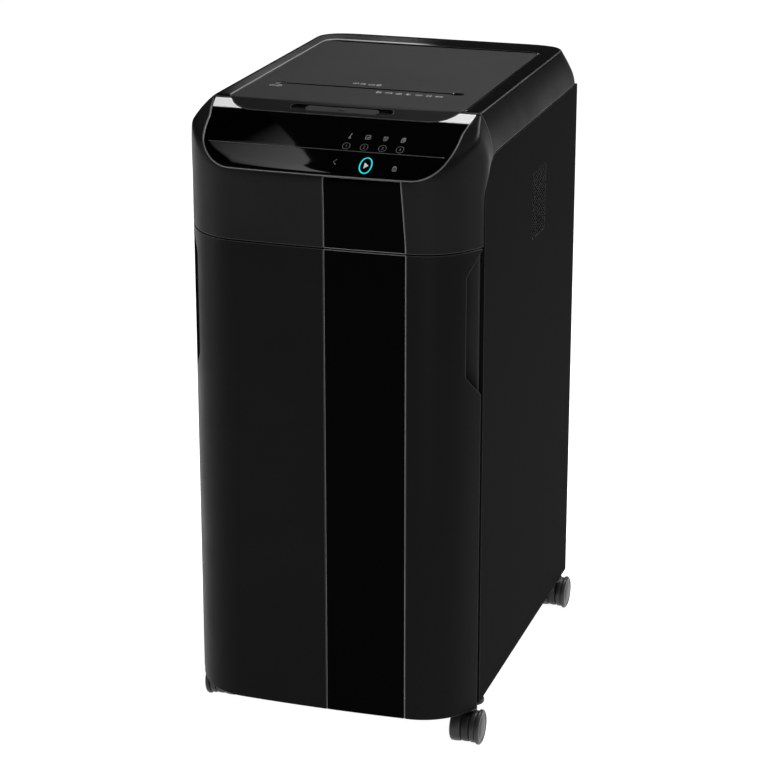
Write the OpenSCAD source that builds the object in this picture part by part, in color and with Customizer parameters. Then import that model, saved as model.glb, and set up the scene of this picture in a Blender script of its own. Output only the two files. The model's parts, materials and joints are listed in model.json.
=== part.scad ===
// Free-standing office paper shredder: cabinet on four swivel casters, pull-out
// bin drawer, cutter block with gear train, auto-feed tray under a hinged lid.
// Millimetres. +Z up, front towards -Y, origin on the floor under the centre.

/* [Cabinet] */
// Half of the cabinet width
half_w = 189; // [185:1:195]
// Rear face, measured back from the door's front plane
rear_y = 530; // [510:1:550]
// Underside of the side panels above the floor
skirt_z = 55; // [53:0.5:58]
// Wall thickness of the moulded shells
wall = 3; // [2.5:0.5:4]
// Gap between door and head
seam_gap = 1.5; // [1:0.5:3]

/* [Head] */
// Top of the rim
top_z = 820; // [818:1:822]
// Seam between the door and the head
seam_z = 663; // [655:1:670]
// Height of the lip under the control panel
lip_z = 756; // [752:1:760]
// How far the lip stands ahead of the door
lip_out = 11; // [8:1:12]

/* [Drawer] */
// Half width of the waste bin
bin_hw = 163; // [150:1:163]
// Height of the bin rim
bin_top = 545; // [500:5:560]

/* [Cutter] */
// Distance between the two cutter shafts
shaft_gap = 38; // [38:0.5:39]
// Radius of the cutter discs
disc_r = 23; // [21:0.5:23]
// Discs on each shaft
discs = 26; // [20:1:26]
// Pitch of the discs along a shaft
disc_pitch = 9; // [8.8:0.1:9]

/* [Casters] */
// Wheel radius
wheel_r = 23; // [21:0.5:23]
// Distance from the swivel axis to the axle
trail = 20; // [18:1:22]

/* [Hidden] */

fy = -266;                    // door front plane in the part's frame
cut_y1 = 170;                 // front cutter shaft, behind the door plane
cut_y2 = cut_y1 + shaft_gap;  // rear cutter shaft
cut_z = 650;                  // height of both cutter shafts
mid_y = (cut_y1 + cut_y2)/2;  // centre of the throat
roll_z = 742;                 // feed roller height
roll_y1 = mid_y - 28;
roll_y2 = mid_y + 28;
idl_y = cut_y2 + 34;          // idler axis
mot_y = idl_y + 52.5;         // motor axis
hinge_y = 466;
hinge_z = 810;
cast_x = 176;
cast_yf = 80;
cast_yr = 500;
slope_a = atan(10/27);        // front slope of the lid
e = 0.01;
$fn = 48;

// ---- outlines -------------------------------------------------------------
// Right half of the front plan: [x, y, slope angle]
function half_plan() = concat(
  [for (i = [0:7]) let (x = 16*i) [x, x*x/4400, asin(x/2200)]],
  [for (j = [1:8]) let (a = 2.92 + j*47.08/8)
    [112 + 80*(sin(a) - sin(2.92)), 2.85 + 80*(cos(2.92) - cos(a)), a]],
  [[half_w - 1.5, 61, 58.4]]);
function push(p, t, k) = [p[0] - t*sin(p[2]), p[1] + t*cos(p[2]) - k*(1 - pow(p[0]/half_w, 4))];
function right_pts(t, k) = [for (p = half_plan()) push(p, t, k)];
function flip(v) = [for (i = [len(v)-1:-1:1]) [-v[i][0], v[i][1]]];
function front_pts(t, k) = concat(flip(right_pts(t, k)), right_pts(t, k));
module plan(t, k, back) polygon(concat(front_pts(t, k), [[half_w - t, back], [t - half_w, back]]));
function rev(v) = [for (i = [len(v)-1:-1:0]) v[i]];
module plan_skin(t0, t1) polygon(concat(front_pts(t0, 0), rev(front_pts(t1, 0))));

// Shoulders of the head, across the cabinet
module shoulders_2d(t) polygon(concat([[t - half_w, 600], [half_w - t, 600]],
  [for (a = [0:5.5:33]) [half_w - 100 + (100 - t)*cos(a), 765 + (100 - t)*sin(a)]],
  [[half_w - 18 - t*0.6, top_z - t]], [[18 + t*0.6 - half_w, top_z - t]],
  [for (a = [33:-5.5:0]) [100 - half_w - (100 - t)*cos(a), 765 + (100 - t)*sin(a)]]));
module along_y(y0, y1) translate([0, y1, 0]) rotate([90, 0, 0]) linear_extrude(y1 - y0) children();
module along_x(x0, x1) translate([x0, 0, 0]) rotate([90, 0, 90]) linear_extrude(x1 - x0) children();

// Slope of control panel and lid, from the side
module slope_2d(t) translate([0.55*t, -t]) polygon([[-40, 600], [-40, 745], [-lip_out, lip_z],
  [-4, 764], [8, 773], [20, 780.5], [46, 796], [72, 810], [99, top_z], [rear_y + 1, top_z],
  [rear_y + 1, 600]]);
module head_block(t, back) intersection() {
  hull() {
    translate([0, 0, 640]) linear_extrude(seam_z - 640) plan(t, 0, back);
    translate([0, 0, lip_z]) linear_extrude(80) plan(t, lip_out, back);
  }
  along_x(-200, 200) slope_2d(t);
  along_y(-60, 600) shoulders_2d(t);
}
// Outline of the control panel, from the front, grown by d
module panel_2d(d) polygon(concat(
  [for (a = [-90:7.5:0]) [115 + (46 + d)*cos(a), 802 + (46 + d)*sin(a)]],
  [[173 + d, 830], [-173 - d, 830]],
  [for (a = [-180:7.5:-90]) [-115 + (46 + d)*cos(a), 802 + (46 + d)*sin(a)]]));
// Front boundary of side panel and shoulder, from the side
function seam_arc(a1, g) = [for (a = [180:-3:a1]) [114 + g + 50*cos(a), 720 + 50*sin(a)]];
module behind_seam_2d(g) polygon(concat([[64 + g, 600]], seam_arc(111, g),
  [[96.1 + g, top_z + 10], [600, top_z + 10], [600, 600]]));

// ---- helpers --------------------------------------------------------------
module place() translate([0, fy, 0]) children();
module box(a, b) translate(a) cube([b[0]-a[0], b[1]-a[1], b[2]-a[2]]);
module rod_x(x0, x1, y, z, r) translate([x0, y, z]) rotate([0, 90, 0]) cylinder(h = x1 - x0, r = r);
module rod_y(x, y0, y1, z, r) translate([x, y0, z]) rotate([-90, 0, 0]) cylinder(h = y1 - y0, r = r);
module both() { children(); mirror([1, 0, 0]) children(); }
module stadium(l, w) union() {
  translate([-(l - w)/2, 0]) circle(d = w);
  translate([(l - w)/2, 0]) circle(d = w);
  translate([-(l - w)/2, -w/2]) square([l - w, w]);
}
module on_slope(y, z) translate([0, y, z]) rotate([slope_a, 0, 0]) children();

// Involute gear outline
function inv_pt(rb, a, s, o) = [rb*(cos(s*a + o) + s*a*PI/180*sin(s*a + o)), rb*(sin(s*a + o) - s*a*PI/180*cos(s*a + o))];
function inv_ang(rb, r) = sqrt(max(0, r*r/(rb*rb) - 1))*180/PI;
module gear_2d(m, n, back = 0.16) {
  rp = m*n/2; rb = rp*cos(20); ra = rp + m*0.94; rf = rp - m*1.22;
  half = 90/n - back/rp*180/PI/2 + (tan(20)*180/PI - 20);
  amax = inv_ang(rb, ra);
  polygon([for (i = [0:n-1]) let (c = i*360/n) each concat(
    [[rf*cos(c - half), rf*sin(c - half)]],
    [for (k = [0:4]) inv_pt(rb, amax*k/4, 1, c - half)],
    [for (k = [4:-1:0]) inv_pt(rb, amax*k/4, -1, c + half)],
    [[rf*cos(c + half), rf*sin(c + half)]])]);
}
module gear_x(x0, x1, y, z, m, n, bore, turn) translate([x0, y, z]) rotate([90, 0, 90])
  linear_extrude(x1 - x0) difference() { rotate(turn) gear_2d(m, n); circle(r = bore + 0.02); }

// ---- cabinet --------------------------------------------------------------
module base_pan() color("#1c1c1c") place() difference() {
  union() {
    box([-184.9, 66, skirt_z], [184.9, rear_y - 4.1, skirt_z + 4]);
    for (x = [-120, -40, 40, 120]) box([x - 1.5, 70, skirt_z + 4], [x + 1.5, 520, skirt_z + 9]);
    for (s = [-1, 1], y = [cast_yf, cast_yr]) translate([s*cast_x, y, skirt_z]) cylinder(h = 24, r = 8.4);
  }
  for (s = [-1, 1], y = [cast_yf, cast_yr]) translate([s*cast_x, y, skirt_z - 1]) cylinder(h = 22, r = 4.56);
}
module vent_slots() intersection() {
  union() for (i = [-14:14]) translate([0, 328, 655 + i*5]) rotate([55, 0, 0])
    box([170, -1.1, -60], [200, 1.1, 60]);
  along_x(170, 200) union() {
    for (a = [-1, 1], b = [-1, 1]) translate([328 + a*27, 655 + b*37]) circle(r = 8);
    translate([293, 618]) square([70, 74]);
    translate([301, 610]) square([54, 90]);
  }
}
module side_plate() union() {
  difference() {
    union() {
      along_x(half_w - 4, half_w) polygon(concat([[64, skirt_z]], [for (p = seam_arc(90, 0)) [p[0], min(p[1], 769.5)]],
        [[rear_y, 769.5], [rear_y, skirt_z]]));
      box([half_w - 9, 64, 90], [half_w - 4, 67, 640]);
    }
    vent_slots();
  }
}
module side_panel_left() color("#1a1a1a") place() mirror([1, 0, 0]) side_plate();
module side_panel_right() color("#1a1a1a") place() side_plate();
inlet_x = -140; inlet_z = 636; sw_x = -92;
screw_pts = [for (x = [-176, 176], z = [80, 300, 520, 752]) [x, z]];
module rear_panel() color("#1c1c1c") place() difference() {
  box([-184.9, rear_y - 4, skirt_z], [184.9, rear_y, 769.5]);
  box([inlet_x - 14.2, rear_y - 5, inlet_z - 10.2], [inlet_x + 14.2, rear_y + 1, inlet_z + 10.2]);
  box([sw_x - 10.2, rear_y - 5, inlet_z - 13.7], [sw_x + 10.2, rear_y + 1, inlet_z + 13.7]);
  for (i = [0:11], j = [0:2]) box([-20 + i*12, rear_y - 5, 620 + j*34], [-14.5 + i*12, rear_y + 1, 648 + j*34]);
  for (p = screw_pts) rod_y(p[0], rear_y - 5, rear_y + 1, p[1], 2.1);
  for (p = screw_pts) translate([p[0], rear_y - 2.2, p[1]]) rotate([-90, 0, 0]) cylinder(h = 2.21, r1 = 2.1, r2 = 4.3);
}
module chassis_screws() color("silver") place() for (p = screw_pts) union() {
  rod_y(p[0], rear_y - 12, rear_y - 2.1, p[1], 2);
  translate([p[0], rear_y - 2.12, p[1]]) rotate([-90, 0, 0]) cylinder(h = 2, r1 = 2, r2 = 3.95);
}
deck_z = 600;
module mid_deck() color("#3c3f42") place() difference() {
  union() {
    box([-184.9, 68, deck_z], [184.9, rear_y - 4.1, deck_z + 3]);
    both() box([180, 68, deck_z - 16], [184.9, rear_y - 5, deck_z]);
    box([-179, 68, deck_z - 16], [179, 71, deck_z]);
  }
  box([-119, cut_y1 - 14, deck_z - 1], [119, cut_y2 + 14, deck_z + 4]);
}

// ---- head -----------------------------------------------------------------
module strip_2d(d) polygon([[4 - d, 600], [7 - d, lip_z + 2], [104 + d, lip_z + 2], [108 + d, 600]]);
module skin(t) difference() {
  head_block(0, 140);
  head_block(t, 160);
  box([-250, -60, 500], [250, 300, seam_z]);
}
// Plan outline of the lid, grown by g
function arc(cx, cy, r, a0, a1, n) = [for (i = [0:n]) let (a = a0 + (a1 - a0)*i/n) [cx + r*cos(a), cy + r*sin(a)]];
module lid_plan(g) polygon(concat(arc(111.5, 110.6, 38 + g, -90, 0, 12), arc(133.5, 460, 16 + g, 0, 90, 6),
  arc(-133.5, 460, 16 + g, 90, 180, 6), arc(-111.5, 110.6, 38 + g, 180, 270, 12)));
module around_lid(g) translate([0, 0, 780]) linear_extrude(60) lid_plan(g);
module head_front() color("#151515") place() difference() {
  skin(wall);
  along_x(-250, 250) behind_seam_2d(-0.5);
  along_y(-60, 300) panel_2d(1.6);
  intersection() { skin(1.6); along_y(-60, 60) strip_2d(0.1); }
}
module head_strip() color("#000000") place() intersection() {
  difference() { skin(1.5); along_y(-60, 300) panel_2d(1.6); }
  along_y(-60, 60) strip_2d(0);
}
module control_panel() color("#050505") place() intersection() {
  difference() {
    head_block(0.2, 140);
    head_block(wall, 160);
    intersection() { skin(1.3); along_y(-60, 60) ring_2d(8.2, 5.9); }
    around_lid(1);
  }
  along_y(-60, 73.5) panel_2d(0);
}
module panel_trim() color("#8c8f92") place() intersection() {
  difference() { head_block(0, 140); head_block(wall, 160); around_lid(1); }
  along_y(-60, 73.5) difference() { panel_2d(1.5); panel_2d(0.1); }
}
module silver_accents() color("#e0e0e0") place() intersection() {
  difference() { head_block(0, 140); head_block(wall, 160); around_lid(0.8); }
  along_y(74.3, 94.2) difference() { panel_2d(0); square([280, 1700], center = true); }
}
// Light ring around the start symbol
module ring_2d(r1, r0) translate([57, 768]) difference() { circle(r = r1); circle(r = r0); }
module start_ring() color("#1cc8cf") place() intersection() {
  skin(1.2);
  along_y(-60, 60) ring_2d(8.1, 6);
}
module control_board() color("#1e5a32") place() translate([18, 17, 752]) rotate([32, 0, 0]) union() {
  box([-110, 8, 0], [110, 52, 1.6]);
  for (i = [0:5]) box([-80 + i*28, 20, -3], [-68 + i*28, 32, 0]);
}
// Rim and shoulders around the lid
module top_cover() color("#0c0c0c") place() union() {
  difference() {
    intersection() {
      along_y(60, rear_y) shoulders_2d(0);
      along_x(-250, 250) intersection() {
        behind_seam_2d(0);
        polygon(concat([[0, top_z], [0, 767.2], [95, 767.2]], arc(114, 720, 50.5, 110, 90, 6), [[600, 770.5], [600, top_z]]));
      }
      translate([0, 0, 700]) linear_extrude(200) union() {
        polygon([[-250, 0], [250, 0], [250, rear_y - 14], [-250, rear_y - 14]]);
        intersection() {
          polygon([[-175, 500], [175, 500], [175, 600], [-175, 600]]);
          polygon([[-250, 0], [250, 0], [250, rear_y], [-250, rear_y]]);
        }
        for (s = [-1, 1]) translate([s*175, rear_y - 14]) circle(r = 14);
      }
    }
    difference() {
      along_y(50, rear_y - wall) shoulders_2d(wall);
      translate([0, 0, 700]) linear_extrude(200) lid_plan(4);
    }
    translate([0, 0, 700]) linear_extrude(200) union() { lid_plan(1); polygon([[-150.5, 440], [150.5, 440], [150.5, 477], [-150.5, 477]]); }
  }
  box([-150.4, 88, 778], [150.4, 91, 799.4]);
  box([-150.4, 91, 796.4], [150.4, 112, 799.4]);
  both() box([150.3, 88, 778], [154.4, 112, 799.4]);
}
module lid_hinge_pins() color("silver") place() both() rod_x(131, 150.5, hinge_y, hinge_z, 4);

// ---- lid ------------------------------------------------------------------
module lid_profile_2d(t) difference() {
  union() {
    polygon([[73.5 + t, 804.5], [72.6 + t, 810 - t], [99 + 0.2*t, top_z - t], [hinge_y, top_z - t], [hinge_y, hinge_z - 10 + t], [76, 804.5]]);
    translate([hinge_y, hinge_z]) circle(r = 10 - t);
    polygon([[76 + t, 801 + t], [hinge_y, 800 + t], [hinge_y, 810], [74 + t, 810 - t]]);
  }
}
module slot_cut() box([-117.5, mid_y - 3, 700], [117.5, mid_y + 3, 900]);
module lid_shell() color("#2b2b2b") place() {
  lid_body();
  on_slope(85.5, 815) box([-14, -5, -12.3], [14, 8, -10.95]);
  box([-15, 95.5, 806], [15, 97.4, 817.2]);
}
module lid_body() difference() {
  union() {
    difference() {
      intersection() { along_x(-180, 180) lid_profile_2d(0); around_lid(0); }
      intersection() {
        around_lid(-3);
        along_x(-180, 180) intersection() { lid_profile_2d(3); polygon([[80, 790], [hinge_y - 14, 790], [hinge_y - 14, 817], [80, 817]]); }
      }
      intersection() { box([-180, 84, 790], [180, hinge_y - 14, 805]); around_lid(-3); }
    }
    both() rod_x(126, 149.5, hinge_y, hinge_z, 9.9);
    box([-122, mid_y - 6, 806], [122, mid_y + 6, 817.5]);
  }
  slot_cut();
  for (s = [-1, 1]) translate([s*117.5, mid_y, 800]) cylinder(h = 30, r = 8);
  both() rod_x(120, 151, hinge_y, hinge_z, 4.06);
  on_slope(85.5, 815) translate([0, 0, -3]) linear_extrude(20) stadium(132, 14);
  on_slope(85.5, 815) translate([0, 0, -40]) linear_extrude(60) stadium(95, 11.4);
}
module lid_liner() color("#202020") place() difference() {
  union() {
    intersection() { box([-146.3, 100, 804], [146.3, hinge_y - 14.1, 806]); around_lid(-3.2); }
    for (x = [-90, 90], y = [225, 400]) translate([x, y, 804]) cylinder(h = 12.9, r = 9);
  }
  slot_cut();
  for (x = [-90, 90], y = [225, 400]) translate([x, y, 800]) cylinder(h = 15.5, r = 4.06);
}
module slot_guides() color("#e6e6e6") place() for (s = [-1, 1]) difference() {
  translate([s*117.5, mid_y, 806.2]) cylinder(h = 13.3, r = 7.9);
  slot_cut();
  box([-112.5, mid_y - 9, 800], [112.5, mid_y + 9, 830]);
  box([s*124 - 6 + s*6.2, mid_y - 9, 817], [s*124 + 6 + s*6.2, mid_y + 9, 830]);
}
module latch_button() color("#3a3a3a") place() on_slope(85.5, 815) union() {
  translate([0, 0, -6]) linear_extrude(5.2) stadium(94, 10.8);
  translate([0, 0, -8]) linear_extrude(2.1) stadium(60, 7);
}
module ring_coil(r, wire, z0, turns, pitch) for (i = [0:turns-1]) translate([0, 0, z0 + i*pitch])
  rotate_extrude() translate([r, 0]) circle(r = wire, $fn = 16);
module latch_spring() color("silver") place() on_slope(85.5, 815) translate([0, 0, -10.4]) ring_coil(3, 0.4, 0, 2, 1.5);
plate_z = 784;
module pressure_plate() color("#2a2a2a") place() {
  union() {
    box([-106, 202, plate_z], [106, 420, plate_z + 3]);
    for (x = [-90, 90], y = [225, 400]) translate([x, y, plate_z + 3]) cylinder(h = 18.3, r = 4);
    for (x = [-60, -20, 20, 60]) box([x - 1.5, 206, plate_z + 3], [x + 1.5, 415, plate_z + 7]);
  }
}
module plate_springs() color("silver") place() for (x = [-90, 90], y = [225, 400])
  translate([x, y, 0]) ring_coil(6, 0.7, plate_z + 4.2, 6, 3);

// ---- feed -----------------------------------------------------------------
tray_z = 749;
module feed_tray() color("#262626") place() difference() {
  union() {
    box([-118, 128, tray_z], [118, 430, tray_z + 3]);
    box([-118, 128, tray_z + 3], [-115, 430, 800]);
    box([115, 128, tray_z + 3], [118, 430, 800]);
    box([-115, 128, tray_z + 3], [115, 131, 800]);
    box([-115, 427, tray_z + 3], [115, 430, 800]);
    box([-150.4, 113, 796], [-118, 449, 799]);
    box([118, 113, 796], [150.4, 449, 799]);
    box([-118, 113, 796], [118, 128, 799]);
    box([-118, 430, 796], [118, 449, 799]);
  }
  box([-114, mid_y - 12, tray_z - 1], [114, mid_y + 12, tray_z + 4]);
  for (y = [roll_y1, roll_y2], x = [-84, -28, 28, 84]) box([x - 15, y - 12.6, tray_z - 1], [x + 15, y + 12.6, tray_z + 4]);
}
module throat_chute() color("#55585c") place() {
  for (s = [-1, 1]) along_x(-114, 114) polygon([[mid_y + s*12, tray_z - 0.5], [mid_y + s*14, tray_z - 0.5],
    [mid_y + s*7, 676], [mid_y + s*5, 676]]);
}
module feed_roller(y, pulley) union() {
  rod_x(-146, pulley ? 141 : 129.5, y, roll_z, 5);
  for (x = [-84, -28, 28, 84]) rod_x(x - 12, x + 12, y, roll_z, 12);
  gear_x(-144, -136, y, roll_z, 2, 28, 4.9, pulley ? 0 : 180/28);
  if (pulley) { rod_x(132, 139, y, roll_z, 14); rod_x(131, 132, y, roll_z, 16.5); rod_x(139, 140, y, roll_z, 16.5); }
}
module feed_roller_front() color("#4a4a4a") place() feed_roller(roll_y1, false);
module feed_roller_rear() color("#4a4a4a") place() feed_roller(roll_y2, true);
belt_a = atan2(roll_z - cut_z, roll_y2 - cut_y2);
belt_l = sqrt(pow(roll_z - cut_z, 2) + pow(roll_y2 - cut_y2, 2));
module belt_2d(r) union() {
  translate([cut_y2, cut_z]) rotate(belt_a) {
    circle(r = r); translate([belt_l, 0]) circle(r = r); translate([0, -r]) square([belt_l, 2*r]);
  }
}
module feed_belt() color("#111111") place() along_x(132.3, 138.7) difference() { belt_2d(15.9); belt_2d(14.3); }

// ---- cutter block ---------------------------------------------------------
module plate_2d() polygon([[136, 603], [336, 603], [336, 692], [248, 692], [240, 700], [240, 762], [136, 762]]);
module cutter_plates() color("#9a9ea3") place() {
  difference() {
    along_x(-128, -124) plate_2d();
    for (y = [cut_y1, cut_y2]) rod_x(-130, -120, y, cut_z, 14.05);
    for (y = [roll_y1, roll_y2]) rod_x(-130, -120, y, roll_z, 5.06);
    rod_x(-130, -120, idl_y, cut_z, 5.06);
    rod_x(-130, -120, mot_y, cut_z, 12);
    for (p = rod_pts) rod_x(-130, -120, p[0], p[1], 4.05);
  }
  difference() {
    along_x(124, 128) plate_2d();
    for (y = [cut_y1, cut_y2]) rod_x(120, 130, y, cut_z, 14.05);
    for (y = [roll_y1, roll_y2]) rod_x(120, 130, y, roll_z, 5.06);
    for (p = rod_pts) rod_x(120, 130, p[0], p[1], 4.05);
  }
}
rod_pts = [[143, 612], [143, 688], [236, 612], [236, 688]];
module tie_rods() color("#c9ccd0") place() for (p = rod_pts) union() {
  rod_x(-131, 131, p[0], p[1], 4);
  rod_x(-123.9, -118, p[0], p[1], 6);
  rod_x(118, 123.9, p[0], p[1], 6);
  rod_x(-132, -128.1, p[0], p[1], 7);
  rod_x(128.1, 132, p[0], p[1], 7);
}
module shaft_bearings() color("#b8bcc1") place() for (y = [cut_y1, cut_y2], x = [-130, 122]) difference() {
  union() { rod_x(x, x + 8, y, cut_z, 14); }
  rod_x(x - 1, x + 9, y, cut_z, 8.05);
}
function disc_x(i, o) = -disc_pitch*(discs - 1)/2 + i*disc_pitch + o;
function shaft_steps(o) = [for (i = [0:discs-1]) each [
  [13, disc_x(i, o) - 2], [disc_r, disc_x(i, o) - 2], [disc_r, disc_x(i, o) + 2], [13, disc_x(i, o) + 2]]];
module cutter_shaft(y, o, tail) translate([0, y, cut_z]) rotate([0, 90, 0]) rotate_extrude()
  polygon(concat([[0, -146], [8, -146], [8, -121.5], [13, -121.5]], shaft_steps(o),
    [[13, 121.5], [8, 121.5], [8, tail], [0, tail]]));
module cutter_shaft_front() color("#8f9499") place() cutter_shaft(cut_y1, -2.25, 131);
module cutter_shaft_rear() color("#8f9499") place() union() {
  cutter_shaft(cut_y2, 2.25, 141);
  rod_x(132, 139, cut_y2, cut_z, 14); rod_x(131, 132, cut_y2, cut_z, 16.5); rod_x(139, 140, cut_y2, cut_z, 16.5);
}
module gear_front() color("#a8834a") place() gear_x(-144, -134, cut_y1, cut_z, 2, 19, 8, 0);
module gear_rear() color("#a8834a") place() gear_x(-144, -134, cut_y2, cut_z, 2, 19, 8, 0);
module idler_gear() color("#d8d8d0") place() union() {
  gear_x(-144, -134, idl_y, cut_z, 2, 15, 4.9, 180 + 180/15);
  gear_x(-158, -148, idl_y, cut_z, 1.5, 56, 4.9, 0);
  rod_x(-160, -118, idl_y, cut_z, 5);
  rod_x(-148, -144, idl_y, cut_z, 11);
  rod_x(-134, -129, idl_y, cut_z, 8);
}
module motor_pinion() color("#a8a8a8") place() union() {
  gear_x(-158, -148, mot_y, cut_z, 1.5, 14, 3.9, 180 + 180/14);
  rod_x(-159, -60, mot_y, cut_z, 4);
}
module stripper_combs() color("#1f1f1f") place() {
  for (s = [-1, 1]) let (y0 = s < 0 ? cut_y1 - 30 : cut_y2 + 26) union() {
    difference() {
      box([-117, y0, 622], [117, y0 + 4, 678]);
      rod_x(-130, 130, s < 0 ? 143 : 236, 688, 7);
      rod_x(-130, 130, s < 0 ? 143 : 236, 612, 7);
    }
    for (i = [0:discs-2]) let (xc = disc_x(i, s < 0 ? -2.25 : 2.25) + 4.5)
      if (s < 0) box([xc - 1.6, y0 + 3.9, 664], [xc + 1.6, cut_y1 - 4, 668]);
      else box([xc - 1.6, cut_y2 + 4, 664], [xc + 1.6, y0 + 0.1, 668]);
  }
}
module motor() color("#6f7478") place() difference() {
  union() {
    rod_x(-118, 26, mot_y, cut_z, 31);
    rod_x(-124, -118, mot_y, cut_z, 26);
    rod_x(26, 36, mot_y, cut_z, 22);
    box([-96, mot_y - 26, 603], [-80, mot_y + 26, 626]);
    box([0, mot_y - 26, 603], [16, mot_y + 26, 626]);
  }
  rod_x(-125, -50, mot_y, cut_z, 4.06);
}
fan_y = 328; fan_z = 655;
module fan_housing() color("#141414") place() difference() {
  union() {
    difference() { box([152, fan_y - 40, fan_z - 40], [177, fan_y + 40, fan_z + 40]); rod_x(150, 180, fan_y, fan_z, 37.5); }
    difference() {
      union() { box([173.5, fan_y - 38, fan_z - 2.5], [177, fan_y + 38, fan_z + 2.5]); box([173.5, fan_y - 2.5, fan_z - 38], [177, fan_y + 2.5, fan_z + 38]); rod_x(173.5, 177, fan_y, fan_z, 15); }
    }
    box([152, fan_y - 40, 603], [177, fan_y - 34, fan_z - 38]);
    box([152, fan_y + 34, 603], [177, fan_y + 40, fan_z - 38]);
  }
  rod_x(170, 176, fan_y, fan_z, 2.06);
}
module fan_impeller() color("#202020") place() union() {
  rod_x(154, 172.5, fan_y, fan_z, 15);
  rod_x(172, 175.8, fan_y, fan_z, 2);
  for (a = [0:360/7:359]) translate([163, fan_y, fan_z]) rotate([a, 0, 0]) rotate([0, 0, 35]) box([-9, -1, 13], [9, 1, 36]);
}
module power_board() color("#1e5a32") place() union() {
  box([-70, 370, 612], [90, 500, 613.6]);
  for (x = [-62, 82], y = [378, 492]) translate([x, y, 603]) cylinder(h = 9.1, r = 3);
  box([-50, 385, 613.5], [-10, 425, 643]);
  translate([20, 400, 613.5]) cylinder(h = 34, r = 11);
  translate([50, 400, 613.5]) cylinder(h = 34, r = 11);
  box([-50, 445, 613.5], [70, 449, 652]);
  box([10, 460, 613.5], [40, 485, 634]);
}
module power_inlet() color("#0d0d0d") place() difference() {
  union() {
    box([inlet_x - 14, rear_y - 26, inlet_z - 10], [inlet_x + 14, rear_y - 1, inlet_z + 10]);
    box([inlet_x - 20, rear_y - 7, inlet_z - 14], [inlet_x + 20, rear_y - 4.1, inlet_z + 14]);
  }
  difference() {
    box([inlet_x - 12, rear_y - 19, inlet_z - 8.2], [inlet_x + 12, rear_y + 1, inlet_z + 8.2]);
    for (p = [[-7, -1], [0, 3], [7, -1]]) box([inlet_x + p[0] - 1, rear_y - 20, inlet_z + p[1] - 2], [inlet_x + p[0] + 1, rear_y - 4, inlet_z + p[1] + 2]);
  }
}
module switch_frame() color("#0d0d0d") place() difference() {
  union() {
    box([sw_x - 10, rear_y - 24, inlet_z - 13.5], [sw_x + 10, rear_y - 1, inlet_z + 13.5]);
    box([sw_x - 13, rear_y - 7, inlet_z - 17], [sw_x + 13, rear_y - 4.1, inlet_z + 17]);
  }
  box([sw_x - 7.5, rear_y - 16, inlet_z - 11.5], [sw_x + 7.5, rear_y + 1, inlet_z + 11.5]);
  rod_x(sw_x - 9, sw_x + 9, rear_y - 9, inlet_z, 1.56);
}
module rocker() color("#101010") place() union() {
  translate([0, rear_y - 9, inlet_z]) rotate([8, 0, 0]) along_x(sw_x - 7, sw_x + 7)
    polygon([[-2, -8], [5.2, -9.6], [4.2, 0], [5.2, 9.6], [-2, 8], [-4, 0]]);
  rod_x(sw_x - 8.8, sw_x + 8.8, rear_y - 9, inlet_z, 1.5);
}
module interlock_switches() color("#1a1a1a") place() {
  union() { box([124, 91.1, 780], [144, 101, 795]); box([132, 94, 795], [136, 98, 796.3]); }
  union() { box([90, 74, 603], [118, 90, 617]); box([100, 72, 606], [106, 74, 612]); }
}

// ---- drawer ---------------------------------------------------------------
module bin_tub() color("#0f0f0f") place() difference() {
  box([-bin_hw, 62, 66], [bin_hw, 505, bin_top]);
  box([3 - bin_hw, 65, 69], [bin_hw - 3, 502, bin_top + 1]);
}
module drawer_rails() color("#b4b8bc") place() both() union() {
  box([bin_hw, 80, 386], [bin_hw + 10, 500, 390]);
  box([bin_hw, 80, 410], [bin_hw + 10, 500, 414]);
  box([bin_hw, 80, 390], [bin_hw + 3, 500, 410]);
}
module cabinet_rails() color("#b4b8bc") place() both() union() {
  box([181, 80, 378], [184.9, 505, 422]);
  box([173.6, 80, 378], [181, 505, 382]);
  box([173.6, 80, 418], [181, 505, 422]);
}
door_z0 = 48.5;
door_z1 = seam_z - seam_gap;
module grip_cut() both() box([172, 28, 474], [195, 70, 660]);
module door_shell() color("#141414") place() difference() {
  union() {
    translate([0, 0, door_z0]) linear_extrude(door_z1 - door_z0) plan_skin(0, wall);
    translate([0, 0, door_z1 - 3]) linear_extrude(3) polygon(concat(front_pts(2.9, 0), [[150, 53.9], [-150, 53.9]]));
    translate([0, 0, door_z0]) linear_extrude(3) polygon(concat(front_pts(2.9, 0), [[150, 53.9], [-150, 53.9]]));
  }
  box([4, -20, 0], [108, 1.2 + 3, 900]);
  grip_cut();
}
module door_strip() color("#000000") place() intersection() {
  translate([0, 0, door_z0]) linear_extrude(door_z1 - door_z0) plan_skin(0, wall);
  box([4.1, -20, 0], [107.9, 4.1, 900]);
}
module door_back() color("#191919") place() difference() {
  union() {
    box([-160, 54, 52], [160, 57.9, 655]);
    for (x = [-120, 0, 120], z = [120, 420]) translate([x, 57.8, z]) rotate([-90, 0, 0]) cylinder(h = 4.2, r = 9);
  }
  both() box([148, 40, 470], [170, 60, 664]);
}
module handle_cups() color("#0a0a0a") place() both() difference() {
  box([149, 35, 476], [185.5, 61.5, 657.9]);
  box([151, 37, 478.5], [190, 59.5, 655.5]);
  box([171.9, 20, 478.5], [190, 59.5, 655.5]);
  along_z_clip();
}
module along_z_clip() translate([0, 0, 400]) linear_extrude(300) difference() {
  polygon([[100, -50], [250, -50], [250, 80], [100, 80]]);
  plan(3.05, 0, 80);
}

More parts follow.
